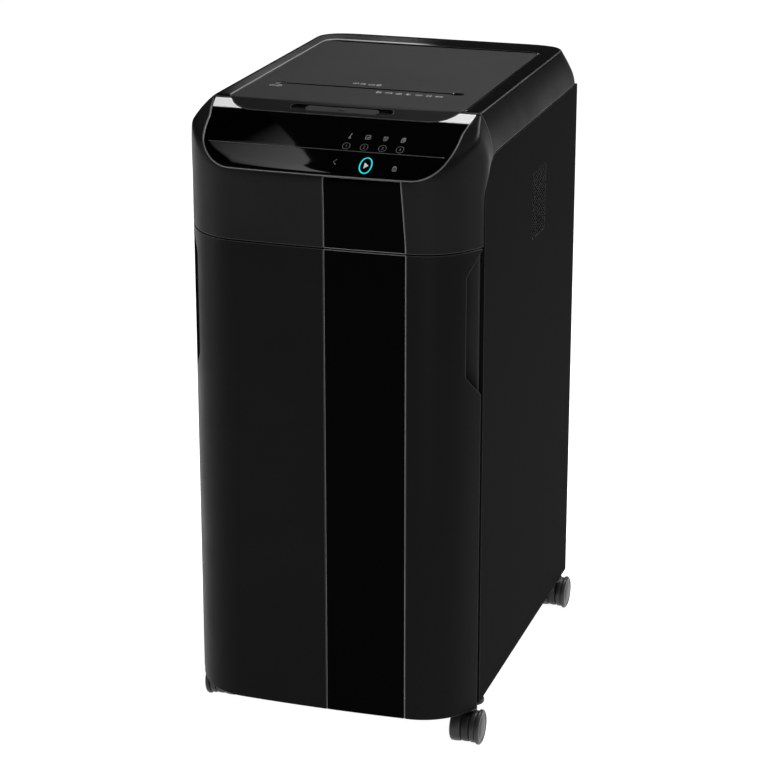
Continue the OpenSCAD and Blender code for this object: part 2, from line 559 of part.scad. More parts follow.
// ---- casters --------------------------------------------------------------
module fork(sx, y, dir) translate([sx*cast_x, y, 0]) difference() {
  union() {
    translate([0, 0, 50.5]) cylinder(h = 24, r = 4.5);
    translate([0, 0, 48.5]) cylinder(h = 5.5, r = 15);
    translate([0, 0, 30]) cylinder(h = 19, r = 5.5);
    box([-5.5, dir < 0 ? -trail - 2 : 0, 28], [5.5, dir < 0 ? 0 : trail + 2, 44]);
    rod_x(-5.5, 5.5, dir*trail, wheel_r, 18);
  }
  rod_x(-10, 10, dir*trail, wheel_r, 4.06);
}
module wheel(sx, y, dir) translate([sx*cast_x, y + dir*trail, wheel_r]) union() {
  rod_x(-21, 21, 0, 0, 4);
  for (s = [-1, 1]) difference() {
    translate([s*13.5, 0, 0]) rod_x(-7.2, 7.2, 0, 0, wheel_r);
    translate([s*21, 0, 0]) rod_x(-2.5, 2.5, 0, 0, 15);
  }
}
module caster_fork_fl() color("#161616") place() fork(-1, cast_yf, 1);
module caster_fork_fr() color("#161616") place() fork(1, cast_yf, -1);
module caster_fork_rl() color("#161616") place() fork(-1, cast_yr, 1);
module caster_fork_rr() color("#161616") place() fork(1, cast_yr, 1);
module caster_wheel_fl() color("#0c0c0c") place() wheel(-1, cast_yf, 1);
module caster_wheel_fr() color("#0c0c0c") place() wheel(1, cast_yf, -1);
module caster_wheel_rl() color("#0c0c0c") place() wheel(-1, cast_yr, 1);
module caster_wheel_rr() color("#0c0c0c") place() wheel(1, cast_yr, 1);

// ---- assembly -------------------------------------------------------------
base_pan();
side_panel_left();
side_panel_right();
rear_panel();
mid_deck();
head_front();
head_strip();
top_cover();
control_panel();
panel_trim();
silver_accents();
start_ring();
control_board();
feed_tray();
throat_chute();
cutter_plates();
tie_rods();
stripper_combs();
shaft_bearings();
motor();
fan_housing();
power_board();
power_inlet();
switch_frame();
interlock_switches();
cabinet_rails();
chassis_screws();
lid_hinge_pins();
feed_belt();
bin_tub();
door_shell();
door_back();
door_strip();
handle_cups();
drawer_rails();
lid_shell();
lid_liner();
slot_guides();
latch_button();
latch_spring();
pressure_plate();
plate_springs();
cutter_shaft_front();
gear_front();
cutter_shaft_rear();
gear_rear();
idler_gear();
motor_pinion();
feed_roller_front();
feed_roller_rear();
fan_impeller();
rocker();
caster_fork_fl();
caster_fork_fr();
caster_fork_rl();
caster_fork_rr();
caster_wheel_fl();
caster_wheel_fr();
caster_wheel_rl();
caster_wheel_rr();
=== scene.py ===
"""Free-standing paper shredder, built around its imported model. Lengths are millimetres up to metres()."""
import json
import math
import bmesh
import bpy
import numpy as np
from mathutils import Matrix, Vector

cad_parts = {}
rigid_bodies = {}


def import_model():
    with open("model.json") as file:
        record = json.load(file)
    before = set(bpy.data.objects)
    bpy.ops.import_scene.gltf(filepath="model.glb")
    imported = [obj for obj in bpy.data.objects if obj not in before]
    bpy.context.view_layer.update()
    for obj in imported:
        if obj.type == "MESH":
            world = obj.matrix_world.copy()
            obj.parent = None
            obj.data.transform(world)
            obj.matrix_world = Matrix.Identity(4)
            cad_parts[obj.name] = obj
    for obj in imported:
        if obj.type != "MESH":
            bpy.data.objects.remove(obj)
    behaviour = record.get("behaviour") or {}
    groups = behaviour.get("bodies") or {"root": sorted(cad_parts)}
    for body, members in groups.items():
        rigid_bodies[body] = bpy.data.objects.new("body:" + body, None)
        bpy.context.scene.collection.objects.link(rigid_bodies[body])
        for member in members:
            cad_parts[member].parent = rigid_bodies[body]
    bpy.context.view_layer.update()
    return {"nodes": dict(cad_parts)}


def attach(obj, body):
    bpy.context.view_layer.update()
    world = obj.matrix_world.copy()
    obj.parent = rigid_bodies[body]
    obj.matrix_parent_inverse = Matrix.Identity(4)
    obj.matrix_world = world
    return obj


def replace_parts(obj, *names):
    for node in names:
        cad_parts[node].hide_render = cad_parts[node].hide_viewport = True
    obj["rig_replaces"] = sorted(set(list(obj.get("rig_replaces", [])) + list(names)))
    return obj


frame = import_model()
nodes = frame["nodes"]


FY = -266.0
rad = math.radians

# ---------------------------------------------------------------- materials


def material(name, colour, rough=0.5, spec=0.25, metal=0.0, grain=900.0, bump=0.1, depth=0.00006,
             tint=0.12, rvar=0.06, coat=0.0, coat_rough=0.05, brushed=None, emit=None, worn=0.0, dust=0.0):
    m = bpy.data.materials.new(name)
    m.use_nodes = True
    nt = m.node_tree
    nt.nodes.clear()
    out = nt.nodes.new("ShaderNodeOutputMaterial")
    b = nt.nodes.new("ShaderNodeBsdfPrincipled")
    nt.links.new(b.outputs[0], out.inputs[0])
    tc = nt.nodes.new("ShaderNodeTexCoord")
    mp = nt.nodes.new("ShaderNodeMapping")
    nt.links.new(tc.outputs["Object"], mp.inputs[0])
    if brushed:
        mp.inputs["Scale"].default_value = brushed
    fine = nt.nodes.new("ShaderNodeTexNoise")
    fine.inputs["Scale"].default_value = grain
    fine.inputs["Detail"].default_value = 3
    nt.links.new(mp.outputs[0], fine.inputs["Vector"])
    wide = nt.nodes.new("ShaderNodeTexNoise")
    wide.inputs["Scale"].default_value = 14
    wide.inputs["Detail"].default_value = 4
    nt.links.new(tc.outputs["Object"], wide.inputs["Vector"])
    # colour: fine speckle and a slow drift
    add = nt.nodes.new("ShaderNodeMath")
    add.operation = "ADD"
    nt.links.new(fine.outputs["Fac"], add.inputs[0])
    nt.links.new(wide.outputs["Fac"], add.inputs[1])
    mr = nt.nodes.new("ShaderNodeMapRange")
    mr.inputs["From Min"].default_value = 0.6
    mr.inputs["From Max"].default_value = 1.4
    nt.links.new(add.outputs[0], mr.inputs["Value"])
    mix = nt.nodes.new("ShaderNodeMix")
    mix.data_type = "RGBA"
    mix.inputs["A"].default_value = [c * (1 - tint) for c in colour] + [1]
    mix.inputs["B"].default_value = [min(1, c * (1 + tint)) for c in colour] + [1]
    nt.links.new(mr.outputs[0], mix.inputs["Factor"])
    last = mix.outputs["Result"]
    if worn or dust:
        geo = nt.nodes.new("ShaderNodeNewGeometry")
        if worn:
            pr = nt.nodes.new("ShaderNodeMapRange")
            pr.inputs["From Min"].default_value = 0.52
            pr.inputs["From Max"].default_value = 0.62
            nt.links.new(geo.outputs["Pointiness"], pr.inputs["Value"])
            sc = nt.nodes.new("ShaderNodeMath")
            sc.operation = "MULTIPLY"
            sc.inputs[1].default_value = worn
            nt.links.new(pr.outputs[0], sc.inputs[0])
            mw = nt.nodes.new("ShaderNodeMix")
            mw.data_type = "RGBA"
            mw.inputs["B"].default_value = [min(1, c * 2.2 + 0.02) for c in colour] + [1]
            nt.links.new(sc.outputs[0], mw.inputs["Factor"])
            nt.links.new(last, mw.inputs["A"])
            last = mw.outputs["Result"]
    nt.links.new(last, b.inputs["Base Color"])
    rr = nt.nodes.new("ShaderNodeMapRange")
    rr.inputs["From Min"].default_value = 0.3
    rr.inputs["From Max"].default_value = 0.7
    rr.inputs["To Min"].default_value = max(0.02, rough - rvar)
    rr.inputs["To Max"].default_value = min(1, rough + rvar)
    nt.links.new(wide.outputs["Fac"], rr.inputs["Value"])
    nt.links.new(rr.outputs[0], b.inputs["Roughness"])
    b.inputs["Metallic"].default_value = metal
    b.inputs["Specular IOR Level"].default_value = spec
    if coat:
        b.inputs["Coat Weight"].default_value = coat
        b.inputs["Coat Roughness"].default_value = coat_rough
    if emit:
        b.inputs["Emission Color"].default_value = list(emit[0]) + [1]
        b.inputs["Emission Strength"].default_value = emit[1]
    bp = nt.nodes.new("ShaderNodeBump")
    bp.inputs["Strength"].default_value = bump
    bp.inputs["Distance"].default_value = depth
    nt.links.new(fine.outputs["Fac"], bp.inputs["Height"])
    nt.links.new(bp.outputs[0], b.inputs["Normal"])
    m["spec"] = spec
    return m


def paint_top_light(m, top, side, lo=0.95, hi=0.985):
    """Painted light: faces that look straight up get the lighter tone, standing in for the light the top catches, and
    the rest get painted shade.
    """
    nt = m.node_tree
    b = next(n for n in nt.nodes if n.type == "BSDF_PRINCIPLED")
    src = b.inputs["Base Color"].links[0].from_socket
    geo = nt.nodes.new("ShaderNodeTexCoord")
    sep = nt.nodes.new("ShaderNodeSeparateXYZ")
    nt.links.new(geo.outputs["Normal"], sep.inputs[0])
    mr = nt.nodes.new("ShaderNodeMapRange")
    mr.inputs["From Min"].default_value = lo
    mr.inputs["From Max"].default_value = hi
    nt.links.new(sep.outputs["Z"], mr.inputs["Value"])
    tone = nt.nodes.new("ShaderNodeMix")
    tone.data_type = "RGBA"
    tone.inputs["A"].default_value = [side] * 3 + [1]
    tone.inputs["B"].default_value = [top] * 3 + [1]
    nt.links.new(mr.outputs[0], tone.inputs["Factor"])
    mul = nt.nodes.new("ShaderNodeMix")
    mul.data_type = "RGBA"
    mul.blend_type = "MULTIPLY"
    mul.inputs["Factor"].default_value = 1
    nt.links.new(src, mul.inputs["A"])
    nt.links.new(tone.outputs["Result"], mul.inputs["B"])
    nt.links.new(mul.outputs["Result"], b.inputs["Base Color"])


M = {}
M["cabinet_black"] = material("cabinet_black", (0.0046, 0.0046, 0.0048), 0.40, 0.05, grain=2600, bump=0.22, depth=0.00005, tint=0.25)
M["fascia_black"] = material("fascia_black", (0.0085, 0.0085, 0.0088), 0.42, 0.06, grain=2600, bump=0.22, depth=0.00005, tint=0.25)
M["side_black"] = material("side_black", (0.0048, 0.0048, 0.0050), 0.60, 0.004, grain=2200, bump=0.2, depth=0.00005, tint=0.2, rvar=0.01)
M["gloss_black"] = material("gloss_black", (0.0006, 0.0006, 0.0007), 0.025, 0.30, grain=30, bump=0.01, depth=0.0002, tint=0.2, rvar=0.006)
M["shoulder_black"] = material("shoulder_black", (0.0042, 0.0042, 0.0044), 0.42, 0.03, grain=2400, bump=0.2, depth=0.00005, tint=0.2)
M["strip_black"] = material("strip_black", (0.0002, 0.0002, 0.0002), 0.07, 0.015, grain=30, bump=0.02, depth=0.0002, tint=0.2, rvar=0.015)
M["rim_black"] = material("rim_black", (0.0025, 0.0025, 0.0027), 0.09, 0.12, grain=30, bump=0.02, depth=0.0002, tint=0.2, rvar=0.02)
# painted edge highlights: lighter materials for bevel faces and thin lines, standing in for the light that rounded
# edges catch
M["painted_highlight_edge"] = material("painted_highlight_edge", (0.085, 0.085, 0.087), 0.38, 0.4, grain=1500, bump=0.05, tint=0.1)
M["painted_highlight_edge_dim"] = material("painted_highlight_edge_dim", (0.035, 0.035, 0.036), 0.42, 0.35, grain=1500, bump=0.05, tint=0.1)
M["painted_highlight_edge_bright"] = material("painted_highlight_edge_bright", (0.20, 0.20, 0.205), 0.32, 0.45, grain=1500, bump=0.05, tint=0.08)
# the lid's lighter top is painted light and its steeper faces painted shade, chosen by which way each face points
M["lid_grey"] = material("lid_grey", (1, 1, 1), 0.62, 0.10, grain=700, bump=0.8, depth=0.00022, tint=0.30, rvar=0.02)
paint_top_light(M["lid_grey"], 0.031, 0.0045)
# pale trim grey: partly the trim's own colour, partly a painted highlight for the panel seam's edges
M["trim_grey"] = material("trim_grey", (0.22, 0.22, 0.225), 0.30, 0.4, grain=1200, bump=0.04, tint=0.06)
M["silver"] = material("silver", (0.95, 0.955, 0.96), 0.36, 0.5, metal=0.10, grain=1800, bump=0.05, tint=0.05, brushed=(0.08, 1, 1))
M["cyan_light"] = material("cyan_light", (0.005, 0.45, 0.50), 0.35, 0.3, grain=400, bump=0.03, tint=0.08, emit=((0.01, 0.56, 0.60), 0.75))
M["button_grey"] = material("button_grey", (0.030, 0.030, 0.031), 0.5, 0.25, grain=1800, bump=0.2, tint=0.15)
M["inner_black"] = material("inner_black", (0.012, 0.012, 0.0125), 0.55, 0.25, grain=1400, bump=0.25, tint=0.2)
M["plated_steel"] = material("plated_steel", (0.46, 0.47, 0.48), 0.34, 0.5, metal=1, grain=260, bump=0.12, tint=0.12, brushed=(1, 0.05, 1))
M["cutter_steel"] = material("cutter_steel", (0.30, 0.31, 0.33), 0.30, 0.5, metal=1, grain=500, bump=0.15, tint=0.2, brushed=(1, 0.3, 0.3), worn=0.4)
M["bright_steel"] = material("bright_steel", (0.62, 0.63, 0.65), 0.18, 0.5, metal=1, grain=700, bump=0.06, tint=0.08, brushed=(0.1, 1, 1))
M["spring_steel"] = material("spring_steel", (0.55, 0.56, 0.58), 0.22, 0.5, metal=1, grain=900, bump=0.05, tint=0.1)
M["gear_steel"] = material("gear_steel", (0.42, 0.34, 0.20), 0.36, 0.5, metal=1, grain=1600, bump=0.2, tint=0.15, worn=0.4)
M["gear_nylon"] = material("gear_nylon", (0.66, 0.64, 0.57), 0.45, 0.35, grain=800, bump=0.08, tint=0.06)
M["motor_paint"] = material("motor_paint", (0.10, 0.11, 0.12), 0.4, 0.4, grain=420, bump=0.3, tint=0.15, worn=0.3)
M["board_green"] = material("board_green", (0.010, 0.11, 0.045), 0.35, 0.4, grain=350, bump=0.15, tint=0.3)
M["rubber_black"] = material("rubber_black", (0.014, 0.014, 0.0145), 0.55, 0.25, grain=1300, bump=0.25, tint=0.2)
M["roller_rubber"] = material("roller_rubber", (0.07, 0.07, 0.072), 0.7, 0.25, grain=900, bump=0.4, tint=0.2)
M["fork_black"] = material("fork_black", (0.012, 0.012, 0.0125), 0.42, 0.25, grain=1500, bump=0.15, tint=0.2)
M["caster_shell"] = material("caster_shell", (0.020, 0.020, 0.0205), 0.40, 0.32, grain=1200, bump=0.12, tint=0.2)
M["icon_grey"] = material("icon_grey", (0.26, 0.262, 0.265), 0.5, 0.2, grain=700, bump=0.03, tint=0.1)
M["icon_dim"] = material("icon_dim", (0.12, 0.121, 0.123), 0.5, 0.2, grain=700, bump=0.03, tint=0.1)
M["icon_pale"] = material("icon_pale", (0.55, 0.55, 0.56), 0.5, 0.2, grain=700, bump=0.03, tint=0.06, emit=((0.7, 0.7, 0.7), 0.25))
M["print_white"] = material("print_white", (0.55, 0.55, 0.555), 0.6, 0.2, grain=900, bump=0.05, tint=0.2)
M["deck_steel"] = material("deck_steel", (0.14, 0.145, 0.15), 0.45, 0.4, metal=0.6, grain=600, bump=0.1, tint=0.15)

# ---------------------------------------------------------------- mesh tools


def metres(v):
    v = np.asarray(v, float)
    return np.stack([v[..., 0], v[..., 1] + FY, v[..., 2]], -1) / 1000.0


def add_mesh(name, verts, faces, body, mats, smooth=True, idx=None):
    me = bpy.data.meshes.new(name)
    me.from_pydata([tuple(p) for p in metres(verts)], [], [tuple(int(i) for i in f) for f in faces])
    me.validate()
    for m in mats:
        me.materials.append(M[m] if isinstance(m, str) else m)
    if idx is not None:
        me.polygons.foreach_set("material_index", np.asarray(idx, np.int32))
    me.polygons.foreach_set("use_smooth", [smooth] * len(me.polygons))
    o = bpy.data.objects.new(name, me)
    bpy.context.scene.collection.objects.link(o)
    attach(o, body)
    return o


def grid_faces(n, m, close_m=False, flip=False, base=0):
    fs = []
    for i in range(n - 1):
        for j in range(m if close_m else m - 1):
            a, b = base + i * m + j, base + i * m + (j + 1) % m
            c, d = base + (i + 1) * m + (j + 1) % m, base + (i + 1) * m + j
            fs.append((a, d, c, b) if flip else (a, b, c, d))
    return fs


def clean(o, join=0.02):
    bm = bmesh.new()
    bm.from_mesh(o.data)
    bmesh.ops.remove_doubles(bm, verts=bm.verts, dist=join / 1000)
    bmesh.ops.dissolve_degenerate(bm, edges=bm.edges, dist=0.00001)
    bmesh.ops.recalc_face_normals(bm, faces=bm.faces)
    bm.to_mesh(o.data)
    bm.free()
    o.data.polygons.foreach_set("use_smooth", [True] * len(o.data.polygons))
    return o


def edge_break(o, width=0.7, seg=3, angle=50, mat=-1, clamp=False):
    b = o.modifiers.new("bevel", "BEVEL")
    b.width = width / 1000
    b.segments = seg
    b.limit_method = "ANGLE"
    b.angle_limit = rad(angle)
    b.use_clamp_overlap = clamp
    b.harden_normals = True
    # where mat is set, the bevel faces take that slot, which holds a lighter material: a painted edge highlight
    b.material = mat
    return b


def solid(o, t, offset=-1.0):
    s = o.modifiers.new("solid", "SOLIDIFY")
    s.thickness = t / 1000
    s.offset = offset
    s.use_even_offset = False
    s.use_quality_normals = True
    return s


def shell(name, G, body, mats, t=2.5, out=(0, -1, 0), bev=0.7, edge_mat=-1, seg=3, angle=50):
    """A grid of points made into a rounded-edge wall, t thick, that faces out."""
    n, m = G.shape[:2]
    a = G[n // 2 + 1, m // 2] - G[n // 2, m // 2]
    b = G[n // 2, m // 2 + 1] - G[n // 2, m // 2]
    flip = float(np.dot(np.cross(b, a), out)) < 0
    o = add_mesh(name, G.reshape(-1, 3), grid_faces(n, m, flip=flip), body, mats)
    bm = bmesh.new()
    bm.from_mesh(o.data)
    bmesh.ops.remove_doubles(bm, verts=bm.verts, dist=0.00003)
    bmesh.ops.dissolve_degenerate(bm, edges=bm.edges, dist=0.00001)
    bm.to_mesh(o.data)
    bm.free()
    o.data.polygons.foreach_set("use_smooth", [True] * len(o.data.polygons))
    solid(o, t)
    if bev:
        edge_break(o, bev, seg, angle, edge_mat)
    return o


def lathe(profile, cx=0, cy=0, cz=0, axis="x", n=64):
    """Points (along, radius) turned around an axis; returns vertices and faces."""
    p = np.asarray(profile, float)
    a = np.linspace(0, 2 * math.pi, n, endpoint=False)
    L, R = p[:, 0][:, None], p[:, 1][:, None]
    if axis == "x":
        v = np.stack([L + 0 * a, R * np.cos(a), R * np.sin(a)], -1)
    elif axis == "z":
        v = np.stack([R * np.cos(a), R * np.sin(a), L + 0 * a], -1)
    else:
        v = np.stack([R * np.sin(a), L + 0 * a, R * np.cos(a)], -1)
    v = v + np.array([cx, cy, cz])
    k = len(p)
    f = grid_faces(k, n, close_m=True)
    return v.reshape(-1, 3), f


def lathe_piece(name, profile, c, body, mats, axis="x", n=64, extra=()):
    V, Fc = [], []
    for prof in [profile] + list(extra):
        v, f = lathe(prof, *c, axis=axis, n=n)
        base = sum(len(x) for x in V)
        V.append(v)
        Fc += [tuple(i + base for i in q) for q in f]
    o = add_mesh(name, np.concatenate(V), Fc, body, mats)
    return clean(o)


def rounded(pts, r=0.8, n=4):
    """A polyline with its inner corners rounded."""
    pts = [np.array(p, float) for p in pts]
    out = [pts[0]]
    for i in range(1, len(pts) - 1):
        a, b, c = pts[i - 1], pts[i], pts[i + 1]
        u, w = a - b, c - b
        lu, lw = np.linalg.norm(u), np.linalg.norm(w)
        if lu < 1e-6 or lw < 1e-6:
            continue
        d = min(r, lu * 0.45, lw * 0.45)
        p0, p2 = b + u / lu * d, b + w / lw * d
        for k in range(n + 1):
            t = k / n
            out.append((1 - t) ** 2 * p0 + 2 * t * (1 - t) * b + t * t * p2)
    out.append(pts[-1])
    return out


def tube(path, r, n=10, closed=False):
    """A round rod swept along points."""
    P = np.asarray(path, float)
    k = len(P)
    T = np.roll(P, -1, 0) - np.roll(P, 1, 0)
    if not closed:
        T[0], T[-1] = P[1] - P[0], P[-1] - P[-2]
    T /= np.linalg.norm(T, axis=1)[:, None]
    ref = np.array([0.0, 0, 1])
    N = np.cross(T, ref)
    small = np.linalg.norm(N, axis=1) < 1e-3
    N[small] = [1, 0, 0]
    N /= np.linalg.norm(N, axis=1)[:, None]
    B = np.cross(T, N)
    a = np.linspace(0, 2 * math.pi, n, endpoint=False)
    V = P[:, None] + r * (N[:, None] * np.cos(a)[None, :, None] + B[:, None] * np.sin(a)[None, :, None])
    f = grid_faces(k, n, close_m=True)
    V = V.reshape(-1, 3)
    if closed:
        for j in range(n):
            f.append(((k - 1) * n + j, (k - 1) * n + (j + 1) % n, (j + 1) % n, j))
    else:
        f.append(tuple(range(n - 1, -1, -1)))
        f.append(tuple((k - 1) * n + j for j in range(n)))
    return V, f


def joined(name, parts, body, mats, join=0.02):
    V, Fc, base = [], [], 0
    for v, f in parts:
        V.append(np.asarray(v, float))
        Fc += [tuple(i + base for i in q) for q in f]
        base += len(v)
    o = add_mesh(name, np.concatenate(V), Fc, body, mats)
    return clean(o, join)


def lerp(a, b, t):
    return a + (b - a) * t


def ss(a, b, x):
    t = np.clip((x - a) / (b - a), 0, 1)
    return t * t * (3 - 2 * t)


# ---------------------------------------------------------------- the head's surface
S292, C292 = math.sin(rad(2.92)), math.cos(rad(2.92))


def Yf(ax):
    s = np.clip(S292 + (ax - 112) / 80, -1, math.sin(rad(50)))
    mid = 2.85 + 80 * (C292 - np.sqrt(1 - s * s))
    d = ax - 169.2
    far = 31.3 + math.tan(rad(50)) * d + 0.0236 * d * d
    return np.where(ax < 112, ax * ax / 4400, np.where(ax < 169.2, mid, far))


def Yf_slope(ax):
    s = np.clip(S292 + (ax - 112) / 80, 0, math.sin(rad(50)))
    mid = s / np.sqrt(1 - s * s)
    return np.where(ax < 112, ax / 2200, np.where(ax < 169.2, mid, math.tan(rad(50)) + 0.0472 * (ax - 169.2)))


def smax(a, b, k):
    h = np.maximum(k - np.abs(a - b), 0) / k
    return np.maximum(a, b) + h * h * k / 4


def Zs(y):
    t = y + 11
    a = 756 + 0.861 * t - 0.00227 * t * t
    u = y - 20
    b = 780.5 + 0.60 * u - 0.00063 * u * u
    c = 810 + (y - 72) * 10 / 27
    d = np.where(y < 20, a, np.where(y < 72, b, c))
    h = np.maximum(3.0 - np.abs(d - 820), 0) / 3.0
    return np.minimum(d, 820) - h * h * 0.75


def Zs_slope(y):
    return np.where(y < 20, 0.861 - 0.00454 * (y + 11), np.where(y < 72, 0.60 - 0.00126 * (y - 20), np.where(y < 99, 10 / 27, 0)))


def head(P):
    x, y, z = P[..., 0], P[..., 1], P[..., 2]
    ax = np.abs(x)
    t = np.clip((z - 663) / 93, 0, 1)
    k = 11 * t ** 1.35 * (1 - 0.86 * np.clip(ax / 189, 0, 1) ** 4)
    d1 = (Yf(ax) - k - y) / np.sqrt(1 + Yf_slope(ax) ** 2)
    bul = 1.9 * ss(722, 757, z) * (1 - ss(757, 805, z)) * (1 - ss(64, 94, y))
    dS = np.where(z < 765, ax - 189, np.hypot(np.maximum(ax - 89, 0), z - 765) - 100) - bul
    d3 = (z - Zs(y)) / np.sqrt(1 + Zs_slope(y) ** 2)
    a = smax(d1, dS, 4.0)
    a = smax(a, y - 530, lerp(17.0, 38.0, ss(772, 815, z)))
    kb = lerp(11.0, 2.2, ss(-2, 90, y))
    return smax(a, d3, kb)


def cast(P0, D, reach=260.0):
    """From points inside, along D, to the surface."""
    P0, D = np.broadcast_arrays(np.asarray(P0, float), np.asarray(D, float))
    lo, hi = np.zeros(P0.shape[:-1]), np.full(P0.shape[:-1], reach)
    for _ in range(46):
        mid = (lo + hi) / 2
        inside = head(P0 + D * mid[..., None]) < 0
        lo, hi = np.where(inside, mid, lo), np.where(inside, hi, mid)
    return P0 + D * ((lo + hi) / 2)[..., None]


def from_hz(h, z):
    """h is x up to 120, then degrees round the corner; z is the height."""
    h, z = np.broadcast_arrays(np.asarray(h, float), np.asarray(z, float))
    s, a = np.sign(h), np.abs(h)
    th = np.radians(np.maximum(a - 120, 0))
    P0 = np.stack([s * np.minimum(a, 120), np.full(h.shape, 100.0), z], -1)
    D = np.stack([s * np.sin(th), -np.cos(th), 0 * th], -1)
    return cast(P0, D)


def h_for(z, sign, X=None, Y=None):
    """The h at height z where the surface reaches |x| = X or y = Y."""
    z = np.asarray(z, float)
    lo, hi = np.zeros(z.shape), np.full(z.shape, 214.0)
    for _ in range(34):
        mid = (lo + hi) / 2
        P = from_hz(sign * mid, z)
        low = (np.abs(P[..., 0]) < X) if X is not None else (P[..., 1] < Y)
        low = low | ((mid < 60) & (Y is not None))
        lo, hi = np.where(low, mid, lo), np.where(low, hi, mid)
    return sign * (lo + hi) / 2


def resample(C, n):
    C = np.asarray(C, float)
    s = np.concatenate([[0], np.cumsum(np.linalg.norm(np.diff(C, axis=0), axis=1))])
    t = np.linspace(0, s[-1], n)
    return np.stack([np.interp(t, s, C[:, k]) for k in range(C.shape[1])], -1)


def coons(B, T, L, R):
    """A patch between four curves, each n points; B, T run along u, and L, R along v."""
    nu, nv = len(B), len(L)
    u = np.linspace(0, 1, nu)[None, :, None]
    v = np.linspace(0, 1, nv)[:, None, None]
    return ((1 - v) * B[None] + v * T[None] + (1 - u) * L[:, None] + u * R[:, None]
            - (1 - u) * (1 - v) * B[0] - u * (1 - v) * B[-1] - (1 - u) * v * T[0] - u * v * T[-1])


def outline(d, zmax):
    """The control panel's edge, from its bottom corner up: (x, z) grown by d."""
    pts = [(115 + (46 + d) * math.sin(rad(b)), 802 - (46 + d) * math.cos(rad(b))) for b in np.linspace(0, 90, 31)]
    x1, z1 = 161 + d, 802
    pts.append((x1 + (zmax - z1) * 12 / 28, zmax))
    return np.array(pts)


def seam_side(z, g=0.0):
    """y of the side seam at height z."""
    z = np.asarray(z, float)
    c = np.clip((z - 720) / 50, 0, math.sin(rad(69)))
    return np.minimum(114 + g - 50 * np.sqrt(1 - c * c), 96.1 + g)


SEAM = 663.0


def fascia(s, name):
    """The part of the head's front on one side of the strip, up round the panel to its tip."""
    zt, ztip = 756 - 1.7, 817.3
    low = np.concatenate([[SEAM + 0.2, SEAM + 1.6], np.linspace(SEAM + 5, zt - 2, 30), [zt]])
    ol = outline(1.7, ztip)
    ol = np.concatenate([ol[1:10], ol[10:31:2], np.stack([np.linspace(ol[-2][0], ol[-1][0], 9), np.linspace(ol[-2][1], ol[-1][1], 9)], -1)[1:]])
    up = ol[:, 1]
    n0, n1 = (58, 44) if s < 0 else (6, 44)
    hr_low = h_for(low, s, Y=seam_side(low, -0.5))
    hr_up = h_for(up, s, Y=seam_side(up, -0.5))
    ho_up = h_for(up, s, X=ol[:, 0])
    verts, faces, idx = [], [], {}
    base = 0
    rows_low = []
    for z, hr in zip(low, hr_low):
        x0 = lerp(3.7, 6.6, (z - 663) / 93) if s < 0 else lerp(108.3, 104.4, (z - 663) / 93)
        a = np.linspace(x0, s * 115.0, n0 + 1)
        b = lerp(s * 115.0, hr, np.linspace(0, 1, n1 + 1) ** 0.9)
        rows_low.append(from_hz(np.concatenate([a[:-1], b]), z))
    rows_up = [rows_low[-1][n0:]]
    for z, h0, h1 in zip(up, ho_up, hr_up):
        rows_up.append(from_hz(lerp(h0, h1, np.linspace(0, 1, n1 + 1) ** 0.9), z))
    A, B = np.array(rows_low), np.array(rows_up)
    fa = grid_faces(A.shape[0], A.shape[1], flip=(s > 0))
    fb = grid_faces(B.shape[0], B.shape[1], flip=(s > 0), base=A.shape[0] * A.shape[1])
    o = add_mesh(name, np.concatenate([A.reshape(-1, 3), B.reshape(-1, 3)]), fa + fb, "cabinet", ["fascia_black", "painted_highlight_edge_dim"])
    bm = bmesh.new()
    bm.from_mesh(o.data)
    bmesh.ops.remove_doubles(bm, verts=bm.verts, dist=0.00004)
    bmesh.ops.dissolve_degenerate(bm, edges=bm.edges, dist=0.00001)
    bmesh.ops.recalc_face_normals(bm, faces=bm.faces)
    if sum(f.normal.y * f.calc_area() for f in bm.faces) > 0:
        bmesh.ops.reverse_faces(bm, faces=bm.faces)
    bm.to_mesh(o.data)
    bm.free()
    o.data.polygons.foreach_set("use_smooth", [True] * len(o.data.polygons))
    solid(o, 2.6)
    # the bevel faces take the lighter second material, a painted edge highlight
    edge_break(o, 0.65, 3, 50, 1)
    return o


for s, nm in ((-1, "fascia_left"), (1, "fascia_right")):
    o = fascia(s, nm)
    if s < 0:
        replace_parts(o, "head_front")

# head strip
u, v = np.meshgrid(np.linspace(0, 1, 34), np.linspace(0, 1, 34))
zz = lerp(SEAM + 0.2, 756 - 1.7, v)
xa, xb = lerp(4.1, 7.0, (zz - 663) / 93), lerp(107.9, 104.0, (zz - 663) / 93)
G = from_hz(lerp(xa, xb, u), zz)
# the strip's bevel faces take a bright painted edge highlight
o = shell("head_gloss_strip", G, "cabinet", ["strip_black", "painted_highlight_edge_bright"], 2.2, (0, -1, 0), bev=0.75, edge_mat=1)
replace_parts(o, "head_strip")

# control panel
beta = np.radians(np.concatenate([np.linspace(0, 90, 34)]))
rows_z = list(756 + 46 * (1 - np.cos(beta)))
rows_X = list(115 + 46 * np.sin(beta))


def lid_edge_y(x, g):
    ax = np.abs(x)
    e = np.clip(ax - 111.5, 0, 38 + g)
    return np.where(ax < 111.5, 72.6 - g, 110.6 - np.sqrt(np.maximum((38 + g) ** 2 - e * e, 0)))


